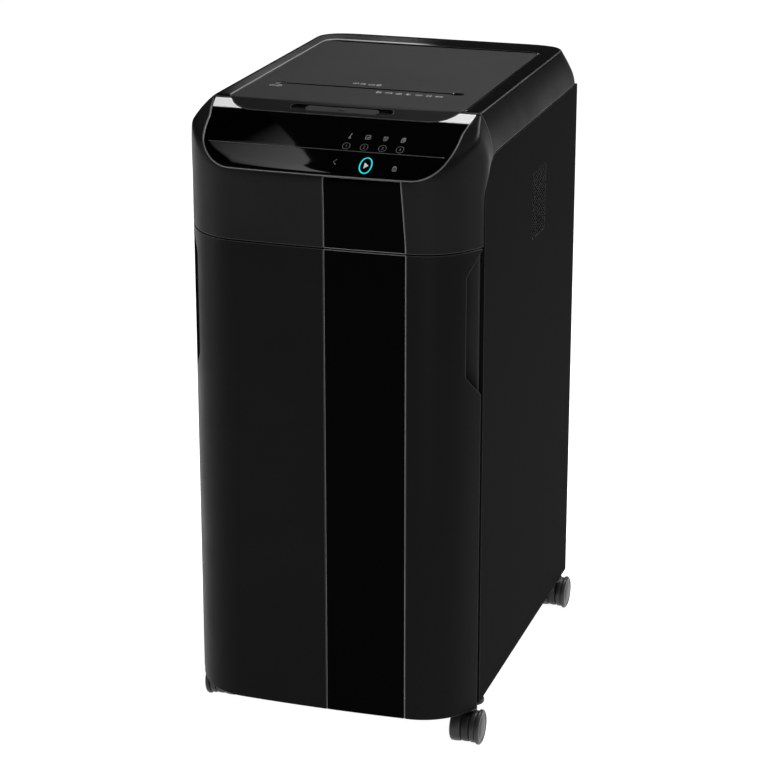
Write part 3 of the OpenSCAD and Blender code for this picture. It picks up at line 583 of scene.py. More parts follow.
cols = np.sin(np.linspace(-1, 1, 121) * math.pi / 2) * 0.25 + np.linspace(-1, 1, 121) * 0.75
G = []
for z, X in zip(rows_z, rows_X):
    G.append(np.stack([X * cols, np.full(121, z)], -1))
for k in range(1, 7):
    t = k / 6
    X = 161 + (Zs(np.array(73.5)) - 802) * 12 / 28 * t
    x = X * cols
    ytop = np.minimum(73.5, lid_edge_y(x, 1.0))
    G.append(np.stack([x, lerp(802.0, Zs(ytop), t)], -1))
G = np.array(G)
near = np.argmin(np.abs(np.array(rows_z) - 780.5))
G[near, :, 1] = 780.5
P0 = np.stack([G[..., 0], np.full(G.shape[:2], 100.0), G[..., 1]], -1)
Pn = cast(P0, np.array([0, -1.0, 0]))
Pn[..., 1] += 0.15
# the panel's bevel faces take a dim painted edge highlight
o = shell("panel_gloss", Pn, "cabinet", ["gloss_black", "painted_highlight_edge_dim"], 2.6, (0, -1, 0), bev=0.5, edge_mat=1)
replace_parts(o, "control_panel")


def on_head(x, z, lift=0.0):
    """A point on the front of the head at (x, z) as seen from the front, lifted off it."""
    x, z = np.broadcast_arrays(np.asarray(x, float), np.asarray(z, float))
    P = cast(np.stack([x, np.full(x.shape, 100.0), z], -1), np.array([0, -1.0, 0]))
    if lift:
        e = 0.5
        g = np.stack([head(P + np.array(d) * e) - head(P - np.array(d) * e) for d in ((1, 0, 0), (0, 1, 0), (0, 0, 1))], -1)
        g /= np.linalg.norm(g, axis=-1)[..., None]
        P = P + g * lift
    return P


def normal_at(P):
    e = 0.4
    g = np.stack([head(P + np.array(d) * e) - head(P - np.array(d) * e) for d in ((1, 0, 0), (0, 1, 0), (0, 0, 1))], -1)
    return g / np.linalg.norm(g, axis=-1)[..., None]


def ribbon(name, path, width, height, mats, closed=False, sink=0.3, crown=0.35, body="cabinet"):
    """A thin crowned strip laid on the head along a path of surface points."""
    P = np.asarray(path, float)
    N = normal_at(P)
    T = np.roll(P, -1, 0) - np.roll(P, 1, 0)
    if not closed:
        T[0], T[-1] = P[1] - P[0], P[-1] - P[-2]
    T /= np.linalg.norm(T, axis=1)[:, None]
    S = np.cross(N, T)
    w = width / 2
    prof = [(-w, -sink), (-w, height * 0.3), (-w * 0.55, height * 0.85), (0, height), (w * 0.55, height * 0.85), (w, height * 0.3), (w, -sink)]
    V = np.stack([P + S * a + N * b for a, b in prof], 1)
    n, m = V.shape[:2]
    f = grid_faces(n, m, close_m=True)
    V = V.reshape(-1, 3)
    if closed:
        for j in range(m):
            f.append(((n - 1) * m + j, (n - 1) * m + (j + 1) % m, (j + 1) % m, j))
    else:
        f.append(tuple(range(m - 1, -1, -1)))
        f.append(tuple((n - 1) * m + j for j in range(m)))
    o = add_mesh(name, V, f, body, mats)
    return clean(o, 0.005)


# trim round the panel: one line from the left end, along the bottom, to the right end; its pale grey is partly the
# trim's own colour and partly a painted highlight for the seam's lit edges
ol = outline(0.75, float(Zs(np.array(73.5))))
right = resample(ol, 70)
bottom = np.stack([np.linspace(-113, 113, 80), np.full(80, ol[0, 1])], -1)
left = right[::-1] * np.array([-1, 1])
path = np.concatenate([left, bottom, right])
o = ribbon("panel_trim_line", on_head(path[:, 0], path[:, 1]), 1.0, 0.22, ["trim_grey"])
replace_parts(o, "panel_trim")
# painted highlight line along the crease across the panel
xs = np.linspace(-149.5, 149.5, 90)
o = ribbon("panel_crease_painted_highlight", on_head(xs, np.full(90, 780.5), -0.1), 0.8, 0.16, ["painted_highlight_edge"])

# silver accents between lid, panel and rim
for s, nm in ((-1, "accent_left"), (1, "accent_right")):
    ys = np.linspace(74.4, 94.1, 16)
    rowsP = []
    for y in ys:
        xi = 111.5 + math.sqrt((38 + 0.9) ** 2 - (110.6 - y) ** 2)
        xo = 161 + (float(Zs(np.array(y))) - 802) * 12 / 28 - 0.1
        x = s * np.linspace(xi, xo, 22)
        rowsP.append(cast(np.stack([x, np.full(22, y), np.full(22, 765.0)], -1), np.array([0, 0, 1.0])))
    G = np.array(rowsP)
    o = shell(nm, G, "cabinet", ["silver"], 2.0, (0, 0, 1), bev=0.5)
    if s < 0:
        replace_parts(o, "silver_accents")

# ---------------------------------------------------------------- top cover


def u_path(g):
    """From the right front, round the back, to the left front: points on the lid opening grown by g."""
    pts = []
    a0 = math.asin((110.6 - 96.3) / (38 + g))
    for a in np.linspace(-a0, 0, 7):
        pts.append((111.5 + (38 + g) * math.cos(a), 110.6 + (38 + g) * math.sin(a)))
    for y in np.linspace(110.6, 460, 60)[1:-1]:
        pts.append((149.5 + g, y))
    for a in np.linspace(0, math.pi / 2, 14):
        pts.append((133.5 + (16 + g) * math.cos(a), 460 + (16 + g) * math.sin(a)))
    for x in np.linspace(133.5, 0, 24)[1:]:
        pts.append((x, 476 + g))
    pts = np.array(pts)
    return np.concatenate([pts, (pts[:-1] * [-1, 1])[::-1]])


inner = u_path(1.0)
K = len(inner)
half = K // 2 + 1
# outer stations that match the inner ones
st = []
for k in range(half):
    if k < 7 + 58:
        y = lerp(96.3, 500, k / 64)
        st.append(((150, y), (1, 0)))
    elif k < 7 + 58 + 14:
        a = (k - 65 + 1) / 14 * math.pi / 2
        st.append(((150, 500), (math.cos(a), math.sin(a))))
    else:
        x = lerp(150, 0, (k - 79 + 1) / (half - 79))
        st.append(((x, 500), (0, 1)))
st = st + [((-p[0], p[1]), (-d[0], d[1])) for p, d in st[:-1][::-1]]
O0 = np.array([[p[0], p[1]] for p, d in st])
OD = np.array([[d[0], d[1], 0.0] for p, d in st])


def outer_at(z):
    return cast(np.concatenate([O0, np.full((K, 1), float(z))], -1), OD)


ztop = 819.15
levels = np.concatenate([[770.9], np.linspace(774, 812, 12), [814.5, 816.3, 817.7, 818.6, ztop]])
G = np.array([outer_at(z) for z in levels])
# the lower front corner follows the side panel's arc
for row, z in zip(G, levels):
    pass
lowarc = lambda y: np.where(y < 114, 720 + np.sqrt(np.maximum(50.6 ** 2 - (y - 114) ** 2, 0)) + 0.2, 770.9)
for j in range(K):
    if G[0, j, 1] < 114:
        zl = float(lowarc(G[0, j, 1]))
        for i, z in enumerate(levels[:4]):
            zn = lerp(zl, levels[4], i / 4)
            P = cast(np.array([O0[j, 0], O0[j, 1], zn]), OD[j])
            G[i, j] = P
# the shoulder's bevel faces take a lighter painted edge highlight
o = shell("cover_shoulder", G, "cabinet", ["shoulder_black", "painted_highlight_edge"], 2.6, (1, 0, 0), bev=0.7, edge_mat=1)
top_edge = outer_at(ztop)
# flat gloss rim with its inner wall
rim_rows = []
for dz, dg in ((-24.0, 0.0), (-14, 0.0), (-6, 0.0), (-1.2, 0.0), (-0.35, 0.35)):
    w = u_path(1.0 + dg)
    zr = cast(np.concatenate([w, np.full((K, 1), 780.0)], -1), np.array([0, 0, 1.0]))[:, 2]
    rim_rows.append(np.concatenate([w, (zr + dz)[:, None]], -1))
lim = np.concatenate([inner, np.zeros((K, 1))], -1)
for t in np.linspace(0.06, 1, 9):
    q = lerp(lim[:, :2], top_edge[:, :2] - OD[:, :2] * 0.35, t)
    P = cast(np.concatenate([q, np.full((K, 1), 780.0)], -1), np.array([0, 0, 1.0]))
    rim_rows.append(P)
rim_rows.append(np.concatenate([top_edge[:, :2] - OD[:, :2] * 0.3, (rim_rows[-1][:, 2] - 1.6)[:, None]], -1))
G = np.array(rim_rows)
o = add_mesh("cover_rim", G.reshape(-1, 3), grid_faces(G.shape[0], K, flip=False), "cabinet", ["rim_black", "painted_highlight_edge_dim"])
bm = bmesh.new()
bm.from_mesh(o.data)
bm.faces.ensure_lookup_table()
mid = [f for f in bm.faces if abs(f.calc_center_median().z - 0.820) < 0.0006]
if sum(f.normal.z for f in mid) < 0:
    bmesh.ops.reverse_faces(bm, faces=bm.faces)
bm.to_mesh(o.data)
bm.free()
o.data.polygons.foreach_set("use_smooth", [True] * len(o.data.polygons))
solid(o, 1.6)
# the rim's bevel faces take a dim painted edge highlight
edge_break(o, 0.45, 2, 40, 1)
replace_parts(o, "top_cover")

# under-lid ledge and front bar of the cover
def boxes(name, bs, body, mats, bev=0.6):
    parts = []
    for a, b in bs:
        x0, y0, z0 = a
        x1, y1, z1 = b
        v = [(x0, y0, z0), (x1, y0, z0), (x1, y1, z0), (x0, y1, z0), (x0, y0, z1), (x1, y0, z1), (x1, y1, z1), (x0, y1, z1)]
        f = [(0, 3, 2, 1), (4, 5, 6, 7), (0, 1, 5, 4), (1, 2, 6, 5), (2, 3, 7, 6), (3, 0, 4, 7)]
        parts.append((v, f))
    o = joined(name, parts, body, mats, 0.001)
    o.data.polygons.foreach_set("use_smooth", [False] * len(o.data.polygons))
    edge_break(o, bev, 2, 40, -1, clamp=True)
    return o


boxes("cover_front_bar", [((-154, 88, 778), (154, 91, 799.2)), ((-150, 90.9, 796.4), (150, 112, 799.2))], "cabinet", ["inner_black"])

# ---------------------------------------------------------------- door
Z0, Z1 = 48.5, 661.5


def door_front(x):
    ax = np.abs(x)
    return Yf(ax)


def door_edge(z):
    """Half width of the door at height z, with the finger recess."""
    z = np.asarray(z, float)
    full, cut = 187.3, 174.0
    lo = ss(474, 506, z)
    hi = 1 - ss(624, 660.5, z)
    # straight flanks with soft ends, not an S curve
    def flank(t):
        t = np.clip(t, 0, 1)
        k = 0.10
        return np.where(t < k, t * t / (2 * k) / (1 - k), np.where(t > 1 - k, 1 - (1 - t) ** 2 / (2 * k) / (1 - k), (t - k / 2) / (1 - k)))
    a = flank((z - 474) / 30)
    b = 1 - flank((z - 628) / 33)
    return full - (full - cut) * np.minimum(a, b)


def door_piece(name, side, n_u, mats, bodyname, x_in, edge_mat, bev=0.7):
    zs = np.concatenate([[Z0, Z0 + 2.5, Z0 + 6], np.linspace(Z0 + 12, 466, 36), np.linspace(470, 510, 22), np.linspace(516, 620, 14), np.linspace(624, Z1, 22)])
    zs = np.unique(np.round(zs, 4))
    rows_ = []
    for z in zs:
        X = float(door_edge(z)) if side else None
        if side > 0:
            x = lerp(x_in, X, np.linspace(0, 1, n_u))
        elif side < 0:
            x = lerp(x_in, -X, np.linspace(0, 1, n_u))
        rows_.append(np.stack([x, door_front(x), np.full(n_u, z)], -1))
    return shell(name, np.array(rows_), bodyname, mats, 2.8, (0, -1, 0), bev=bev, edge_mat=edge_mat)


# the door's bevel faces take a dim painted edge highlight
dl = door_piece("door_left", -1, 84, ["cabinet_black", "painted_highlight_edge_dim"], "drawer", 3.8, 1)
dr = door_piece("door_right", 1, 52, ["cabinet_black", "painted_highlight_edge_dim"], "drawer", 108.2, 1)
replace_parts(dl, "door_shell")
xs = np.linspace(4.2, 107.8, 30)
zs = np.concatenate([[Z0], np.linspace(Z0 + 4, Z1 - 3, 60), [Z1]])
G = np.array([np.stack([xs, door_front(xs) + 0.12, np.full(30, z)], -1) for z in zs])
# the strip's bevel faces take a bright painted edge highlight
o = shell("door_gloss_strip", G, "drawer", ["strip_black", "painted_highlight_edge_bright"], 2.2, (0, -1, 0), bev=0.75, edge_mat=1)
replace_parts(o, "door_strip")
# returns along the door's top and bottom
for nm, za, zb in (("door_top_return", Z1 - 3.4, Z1 - 0.5), ("door_bottom_return", Z0 + 0.5, Z0 + 3.4)):
    xs = np.linspace(-184, 184, 90)
    yi = door_front(xs) + 1.6
    yo = np.full(90, 54.2)
    yo = np.maximum(yo, yi + 0.5)
    G = np.array([[(x, lerp(a, b, t), zb) for x, a, b in zip(xs, yi, yo)] for t in np.linspace(0, 1, 6)])
    shell(nm, G, "drawer", ["inner_black"], zb - za, (0, 0, 1), bev=0.5)

# ---------------------------------------------------------------- casters
for c, sx, y, dr_ in (("fl", -1, 80, 1), ("fr", 1, 80, -1), ("rl", -1, 500, 1), ("rr", 1, 500, 1)):
    cx, cy = sx * 176.0, y + dr_ * 20.0
    o_ = sx
    disc = rounded([(o_ * 13.6, 8), (o_ * 13.6, 21.6), (o_ * 14.6, 22.9), (o_ * 17.6, 22.9), (o_ * 19.4, 20.4), (o_ * 19.0, 17.6), (o_ * 18.4, 17.2), (o_ * 18.6, 16.6), (o_ * 20.2, 11), (o_ * 20.7, 4), (o_ * 20.8, 0.0)], 1.0, 3)
    barrel = rounded([(o_ * 5.9, 6), (o_ * 5.9, 19.8), (o_ * 6.9, 20.8), (o_ * 10, 21.1), (o_ * 12.2, 20.9), (o_ * 12.9, 20.2), (o_ * 13.7, 19.6), (o_ * 13.7, 8)], 0.7, 3)
    inner_w = rounded([(-o_ * 5.9, 6), (-o_ * 5.9, 19.8), (-o_ * 6.9, 20.8), (-o_ * 13, 21.4), (-o_ * 18.6, 21.2), (-o_ * 20.2, 19.6), (-o_ * 20.4, 17.0), (-o_ * 19.6, 15), (-o_ * 20.2, 10), (-o_ * 20.6, 4), (-o_ * 20.6, 0.0)], 0.8, 3)
    axle = [(-8, 0.0), (-8, 4.0), (8, 4.0), (8, 0.0)]
    w = lathe_piece("caster_wheel_%s_v" % c, disc, (cx, cy, 23), "wheel_" + c, ["caster_shell"], n=72, extra=[barrel, inner_w, axle])
    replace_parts(w, "caster_wheel_" + c)
    hood = rounded([(-5.3, 4.2), (-5.3, 18.6), (-4.4, 20.3), (0, 20.6), (4.4, 20.3), (5.3, 18.6), (5.3, 4.2), (-5.3, 4.2)], 0.8, 3)
    stem = rounded([(33, 0.0), (33, 5.6), (47.4, 5.6), (48.4, 9), (48.6, 14.2), (49.4, 15), (53.0, 15), (54.0, 14), (54.2, 4.7), (55, 4.4), (74.2, 4.4), (74.4, 3.9), (74.4, 0)], 0.6, 2)
    pv, pf = lathe(stem, cx, y, 0, "z", 48)
    hv, hf = lathe(hood, cx, cy, 23, "x", 64)
    # the arm from stem to hood
    ya, yb = sorted((y - dr_ * 4.6, cy + dr_ * 3))
    arm_o = [(-5.2, 26), (-5.2, 41), (-3.6, 43.4), (3.6, 43.4), (5.2, 41), (5.2, 26)]
    av = [(cx + p[0], yy, p[1]) for yy in (ya, lerp(ya, yb, 0.5), yb) for p in arm_o]
    af = grid_faces(3, 6, close_m=True) + [tuple(range(5, -1, -1)), tuple(range(12, 18))]
    f_ = joined("caster_fork_%s_v" % c, [(pv, pf), (hv, hf), (av, af)], "swivel_" + c, ["fork_black"])
    f_.data.polygons.foreach_set("use_smooth", [True] * len(f_.data.polygons))
    edge_break(f_, 0.4, 2, 55, -1, clamp=True)
    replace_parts(f_, "caster_fork_" + c)

# ---------------------------------------------------------------- springs, cutters


def helix(cx, cy, z0, z1, r, turns, wire, tilt=None, n=None):
    n = n or int(turns * 28)
    t = np.linspace(0, 1, n)
    flat = np.clip((t - 0.06) / 0.88, 0, 1)
    a = t * turns * 2 * math.pi
    P = np.stack([r * np.cos(a), r * np.sin(a), lerp(z0, z1, flat)], -1)
    if tilt is None:
        P += np.array([cx, cy, 0])
    else:
        c, s_ = math.cos(tilt), math.sin(tilt)
        x, yv, z = P[:, 0], P[:, 1], P[:, 2]
        P = np.stack([x, yv * c - z * s_ + cy, yv * s_ + z * c + cx], -1)
    return tube(P, wire, 8)


parts = [helix(x, y, 788.9, 803.6, 6, 5, 0.65) for x in (-90, 90) for y in (225, 400)]
o = joined("plate_spring_coils", parts, "presser", ["spring_steel"])
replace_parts(o, "plate_springs")
tl = math.atan(10 / 27)
o = joined("latch_spring_coil", [helix(815, 85.5, -10.4, -8.4, 3, 2.2, 0.38, tilt=tl)], "latch", ["spring_steel"])
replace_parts(o, "latch_spring")


def cutter(yc, off, tail, phase):
    """A shaft with its toothed discs."""
    prof = rounded([(-146, 0.0), (-146, 7.4), (-145.4, 8), (-121.5, 8), (-121.5, 13), (121.5, 13), (121.5, 8), (tail - 0.6, 8), (tail, 7.4), (tail, 0.0)], 0.4, 2)
    parts = [lathe(prof, 0, yc, 650, "x", 40)]
    for i in range(26):
        xc = -9 * 12.5 + i * 9 + off
        ring = []
        for k in range(8):
            a0 = k * 45 + phase + i * 11.25
            for da, r in ((0, 21.0), (3, 22.9), (7, 22.9), (9, 21.3), (16, 20.4), (24, 20.2), (33, 20.4), (40, 20.7)):
                ring.append((a0 + da, r))
        ring = np.array(ring)
        m = len(ring)
        vs = []
        for dx, rr in ((-2, -99), (-2, -0.5), (-1.6, 0), (1.6, 0), (2, -0.5), (2, -99)):
            for a, r in ring:
                q = 12.9 if rr == -99 else r + rr
                vs.append((xc + dx, yc + q * math.cos(rad(a)), 650 + q * math.sin(rad(a))))
        parts.append((np.array(vs), grid_faces(6, m, close_m=True)))
    return parts


for nm, yc, off, tail, ph, body in (("cutter_front_teeth", 170, -2.25, 131, 0, "cutter_front"), ("cutter_rear_teeth", 208, 2.25, 141, 7, "cutter_rear")):
    parts = cutter(yc, off, tail, ph)
    if body == "cutter_rear":
        parts.append(lathe(rounded([(131, 8), (131, 16.4), (132, 16.4), (132.4, 14), (138.6, 14), (139, 16.4), (140, 16.4), (140, 8)], 0.3, 2), 0, yc, 650, "x", 48))
    o = joined(nm, parts, body, ["cutter_steel"], 0.002)
    for p in o.data.polygons:
        p.use_smooth = False
    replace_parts(o, "cutter_shaft_front" if body == "cutter_front" else "cutter_shaft_rear")

# ---------------------------------------------------------------- CAD nodes that stay


def finish_node(name, mat, bev=0.6, seg=2, angle=35, edge=None, decimate=True, smooth=32):
    o = nodes[name]
    me = o.data
    me.materials.clear()
    me.materials.append(M[mat])
    # a second material here goes on the bevel faces as a painted edge highlight
    if edge:
        me.materials.append(M[edge])
    w = o.modifiers.new("weld", "WELD")
    w.merge_threshold = 0.00002
    if decimate:
        d = o.modifiers.new("plain", "DECIMATE")
        d.decimate_type = "DISSOLVE"
        d.angle_limit = rad(0.6)
    if bev:
        b = edge_break(o, bev, seg, angle, 1 if edge else -1, clamp=True)
        b.harden_normals = False
    for p in me.polygons:
        p.use_smooth = True
    wn = o.modifiers.new("flat_first", "WEIGHTED_NORMAL")
    wn.mode = "FACE_AREA"
    wn.weight = 90
    return o


REPLACED = {n for o in bpy.context.scene.objects for n in o.get("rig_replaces", [])}
plan = {
    "base_pan": ("inner_black", 0.6), "side_panel_left": ("side_black", 0.7), "side_panel_right": ("side_black", 0.7),
    "rear_panel": ("cabinet_black", 0.5), "mid_deck": ("deck_steel", 0.5), "control_board": ("board_green", 0.2),
    "feed_tray": ("inner_black", 0.6), "throat_chute": ("plated_steel", 0.3), "cutter_plates": ("plated_steel", 0.4),
    "tie_rods": ("bright_steel", 0.4), "stripper_combs": ("inner_black", 0.3), "shaft_bearings": ("bright_steel", 0.5),
    "motor": ("motor_paint", 1.0), "fan_housing": ("inner_black", 0.5), "power_board": ("board_green", 0.3),
    "power_inlet": ("inner_black", 0.6), "switch_frame": ("inner_black", 0.6), "interlock_switches": ("inner_black", 0.5),
    "cabinet_rails": ("plated_steel", 0.4), "chassis_screws": ("bright_steel", 0.2), "lid_hinge_pins": ("bright_steel", 0.4),
    "feed_belt": ("rubber_black", 0.3), "bin_tub": ("inner_black", 1.2), "door_back": ("inner_black", 0.8),
    "handle_cups": ("inner_black", 0.5), "drawer_rails": ("plated_steel", 0.4), "lid_shell": ("lid_grey", 0.9),
    "lid_liner": ("inner_black", 0.6), "slot_guides": ("rim_black", 0.35), "latch_button": ("button_grey", 1.1),
    "pressure_plate": ("inner_black", 0.7), "gear_front": ("gear_steel", 0.15), "gear_rear": ("gear_steel", 0.15),
    "idler_gear": ("gear_nylon", 0.15), "motor_pinion": ("gear_steel", 0.15), "feed_roller_front": ("roller_rubber", 0.4),
    "feed_roller_rear": ("roller_rubber", 0.4), "fan_impeller": ("inner_black", 0.3), "rocker": ("inner_black", 0.6),
}
# these nodes get a painted edge highlight on their bevel faces
edges = {"side_panel_left": "painted_highlight_edge", "side_panel_right": "painted_highlight_edge", "lid_shell": "painted_highlight_edge"}
for n, (mt, bv) in plan.items():
    if n in nodes and n not in REPLACED:
        finish_node(n, mt, bv, seg=3 if bv > 0.6 else 2, edge=edges.get(n))
left_over = [n for n in nodes if n not in plan and n not in REPLACED and n != "start_ring"]
for n in left_over:
    finish_node(n, "inner_black", 0.4)
print("nodes with a default finish:", left_over)

# ---------------------------------------------------------------- symbols


def stroke(name, lines, width, mat, place, body, height=0.12, closed=()):
    """Thin raised lines; each line is points in the symbol's own plane, and place() puts them on the object."""
    parts = []
    for k, ln in enumerate(lines):
        ln = np.asarray(ln, float)
        cl = k in closed
        T = np.roll(ln, -1, 0) - np.roll(ln, 1, 0)
        if not cl:
            T[0], T[-1] = ln[1] - ln[0], ln[-1] - ln[-2]
        T /= np.maximum(np.linalg.norm(T, axis=1), 1e-9)[:, None]
        N2 = np.stack([-T[:, 1], T[:, 0]], -1)
        w = width / 2
        A, Bm, C2 = ln + N2 * w, ln + N2 * w * 0.4, ln - N2 * w * 0.4
        D2 = ln - N2 * w
        R = np.stack([place(A, -0.2), place(A, height * 0.5), place(Bm, height), place(C2, height), place(D2, height * 0.5), place(D2, -0.2)], 1)
        n, m = R.shape[:2]
        f = grid_faces(n, m, close_m=True)
        if cl:
            for j in range(m):
                f.append(((n - 1) * m + j, (n - 1) * m + (j + 1) % m, (j + 1) % m, j))
        else:
            f += [tuple(range(m - 1, -1, -1)), tuple((n - 1) * m + j for j in range(m))]
        parts.append((R.reshape(-1, 3), f))
    return joined(name, parts, body, [mat], 0.0005)


def circle(cx, cy, r, n=28, a0=0, a1=360):
    a = np.radians(np.linspace(a0, a1, n, endpoint=(a1 - a0) < 360))
    return np.stack([cx + r * np.cos(a), cy + r * np.sin(a)], -1)


def dense(pts, step=0.5):
    pts = np.asarray(pts, float)
    L = np.sum(np.linalg.norm(np.diff(pts, axis=0), axis=1))
    out_ = [pts[0]]
    for a, b in zip(pts[:-1], pts[1:]):
        k = max(1, int(np.linalg.norm(b - a) / step))
        out_ += [lerp(a, b, i / k) for i in range(1, k + 1)]
    return np.array(out_)


def panel_place(cx, cz, slope=0.6):
    """Symbol plane to the panel: u to the right, v up along the slope."""
    def f(q, lift):
        q = np.asarray(q, float)
        return on_head(cx + q[:, 0], cz + q[:, 1] * slope, 0.0) + normal_at(on_head(cx + q[:, 0], cz + q[:, 1] * slope)) * (lift - 0.12)
    return f


digits = {
    1: [[(-0.9, 1.1), (0.2, 2.0), (0.2, -2.0)]],
    2: [[(-1.1, 1.2), (-0.6, 1.9), (0.4, 2.0), (1.1, 1.3), (0.9, 0.4), (-1.1, -2.0), (1.2, -2.0)]],
    3: [[(-1.0, 1.9), (0.9, 1.9), (0.0, 0.5), (0.9, 0.1), (1.1, -0.9), (0.4, -1.9), (-0.6, -2.0), (-1.1, -1.5)]],
    4: [[(0.6, -2.0), (0.6, 2.0), (-1.2, -0.8), (1.3, -0.8)]],
}
for k, x in zip((1, 2, 3, 4), (25, 47.5, 70.5, 92.5)):
    lines = [circle(0, 0, 4.6, 40)] + [dense(np.array(l) * 0.95) for l in digits[k]]
    stroke("key_%d" % k, lines, 0.55, "icon_dim", panel_place(x, 784.6), "cabinet", closed=(0,))
stroke("key_back", [dense([(1.8, 3.0), (-1.8, 0), (1.8, -3.0)])], 0.6, "icon_dim", panel_place(17.6, 769.4, 0.85), "cabinet")
# padlock
stroke("key_lock", [dense([(-2.2, -3), (2.2, -3), (2.2, 0.6), (-2.2, 0.6), (-2.2, -3)]), circle(0, 0.7, 1.5, 14, 0, 180), dense([(-0.9, -1.6), (0.9, -1.6)])], 0.7, "icon_grey", panel_place(93.3, 767.6, 0.85), "cabinet")
# status icons: thermometer, door ajar, bin, sheets
stroke("status_heat", [dense([(0.6, 4.2), (-0.2, -1.2)]), circle(-0.5, -2.6, 1.1, 16), dense([(1.4, 2.6), (0.6, 2.6)])], 0.7, "icon_grey", panel_place(25.6, 793.6), "cabinet", closed=(1,))
stroke("status_door", [dense([(-3, -2.6), (-3, 2.6), (2.6, 2.6), (2.6, -2.6), (-3, -2.6)]), dense([(-1.6, -2.4), (-0.2, 0.2), (0.6, -1.0), (1.8, 1.4)])], 0.6, "icon_grey", panel_place(48, 793.4), "cabinet")
stroke("status_bin", [dense([(-2.4, 1.8), (-1.8, -3), (1.8, -3), (2.4, 1.8)]), dense([(-3, 2.4), (3, 2.4)]), dense([(-0.7, 1.2), (-0.6, -2.2)]), dense([(0.7, 1.2), (0.6, -2.2)])], 0.55, "icon_grey", panel_place(70, 793.2), "cabinet")
stroke("status_sheets", [dense([(-2.2, -3), (-2.2, 2.2), (1.0, 2.2), (1.0, -3), (-2.2, -3)]), dense([(-1.0, 3.2), (2.2, 3.2), (2.2, -1.8)]), dense([(-1.2, 0.8), (0.1, 0.8)]), dense([(-1.2, -0.6), (0.1, -0.6)])], 0.75, "icon_grey", panel_place(92.5, 792.9), "cabinet")
aa = np.linspace(0, 2 * math.pi, 72, endpoint=False)
o = ribbon("start_ring_glow", on_head(57 + 7.35 * np.cos(aa), 768 + 7.35 * np.sin(aa), -0.1), 1.5, 0.3, ["cyan_light"], closed=True)
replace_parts(o, "start_ring")
# start symbol: a filled triangle
pl = panel_place(57.0, 768.0, 0.85)
tri = np.array([(-2.0, 3.4), (3.6, 0.1), (-2.0, -3.2)])
ctr = tri.mean(0)
ring_pts = dense(np.vstack([tri, tri[:1]]), 0.5)[:-1]
low, mid_, topc = pl(ring_pts, -0.2), pl(ring_pts, 0.15), pl(lerp(ring_pts, ctr, 0.12), 0.24)
cv = pl(ctr[None], 0.24)
n = len(ring_pts)
V = np.concatenate([low, mid_, topc, cv])
Fq = grid_faces(3, n, close_m=True) + [(2 * n + j, 2 * n + (j + 1) % n, 3 * n) for j in range(n)] + [tuple(range(n))]
o = add_mesh("start_triangle", V, Fq, "cabinet", ["icon_pale"])
clean(o, 0.0005)


def lid_place(cx, cy):
    def f(q, lift):
        q = np.asarray(q, float)
        return np.stack([cx + q[:, 0], cy + q[:, 1], np.full(len(q), 820.0 + lift * 0.6 - 0.02)], -1)
    return f


def on_slope_place(cx, s0, lift0):
    """On the latch button: u to the right, v up the slope."""
    c, sn = math.cos(tl), math.sin(tl)
    def f(q, lift):
        q = np.asarray(q, float)
        h = lift0 + lift
        return np.stack([cx + q[:, 0], 85.5 + (s0 + q[:, 1]) * c - h * sn, 815 + (s0 + q[:, 1]) * sn + h * c], -1)
    return f


# small printed pictograms on the lid
picts = {
    "pict_sheet": ([dense([(-2.6, -4), (-2.6, 4), (1.2, 4), (2.6, 2.4), (2.6, -4), (-2.6, -4)]), dense([(-1.2, 1.2), (1.2, 1.2)]), dense([(-1.2, -1), (1.2, -1)])], ()),
    "pict_card": ([dense([(-3.8, -2.6), (-3.8, 2.6), (3.8, 2.6), (3.8, -2.6), (-3.8, -2.6)]), dense([(-3.6, 1), (3.6, 1)])], ()),
    "pict_disc": ([circle(0, 0, 3.4, 26), circle(0, 0, 1.0, 12)], (0, 1)),
    "pict_clip": ([dense([(-1.4, 3), (-1.4, -2.6), (1.4, -2.6), (1.4, 3.4), (-2.6, 3.4), (-2.6, -3.6), (2.4, -3.6)])], ()),
    "pict_hand": ([circle(0, 0, 3.8, 26), dense([(-2.6, 2.6), (2.6, -2.6)])], (0,)),
}
kinds = list(picts)
spots = [(20 + i * 13.2, 171.0 - i * 0.4) for i in range(7)]
for i, (x, y) in enumerate(spots):
    ln, cl = picts[kinds[i % 5]]
    stroke("lid_pict_%d" % (i + 1), ln, 0.85, "print_white", lid_place(x, y), "lid", height=0.05, closed=cl)
for i, (x, y, k) in enumerate(((-121, 172, "pict_card"), (-112, 172.5, "pict_sheet"), (-24, 214, "pict_disc"), (-14, 213, "pict_sheet"), (-2, 211, "pict_card"), (8, 210.5, "pict_clip"))):
    ln, cl = picts[k]
    stroke("lid_mark_%d" % (i + 1), ln, 0.8, "print_white", lid_place(x, y), "lid", height=0.05, closed=cl)
# painted highlight: the fine light line along the lid's edge and round its thumb pocket, standing in for light caught
# by those edges
pts = []
for a in np.linspace(-90, 0, 22):
    pts.append((111.5 + 37.7 * math.cos(rad(a)), 110.6 + 37.7 * math.sin(rad(a))))
for y in np.linspace(116, 440, 60):
    pts.append((149.2, y))
pts = np.array(pts)
pts = np.concatenate([(pts * [-1, 1])[::-1], np.stack([np.linspace(-108, 108, 50), np.full(50, 72.9)], -1), pts])
zl = np.minimum(Zs(pts[:, 1]), 820.0) - 0.42
joined("lid_edge_painted_highlight", [tube(np.concatenate([pts, zl[:, None]], -1), 0.42, 8)], "lid", ["painted_highlight_edge"], 0.001)
aa = np.linspace(-90, 90, 16)
pk = np.concatenate([np.stack([59 + 7 * np.cos(np.radians(aa)), 7 * np.sin(np.radians(aa))], -1), np.stack([-59 - 7 * np.cos(np.radians(aa[::-1])), 7 * np.sin(np.radians(aa[::-1]))], -1)])
pk = dense(np.vstack([pk, pk[:1]]), 3.0)[:-1]
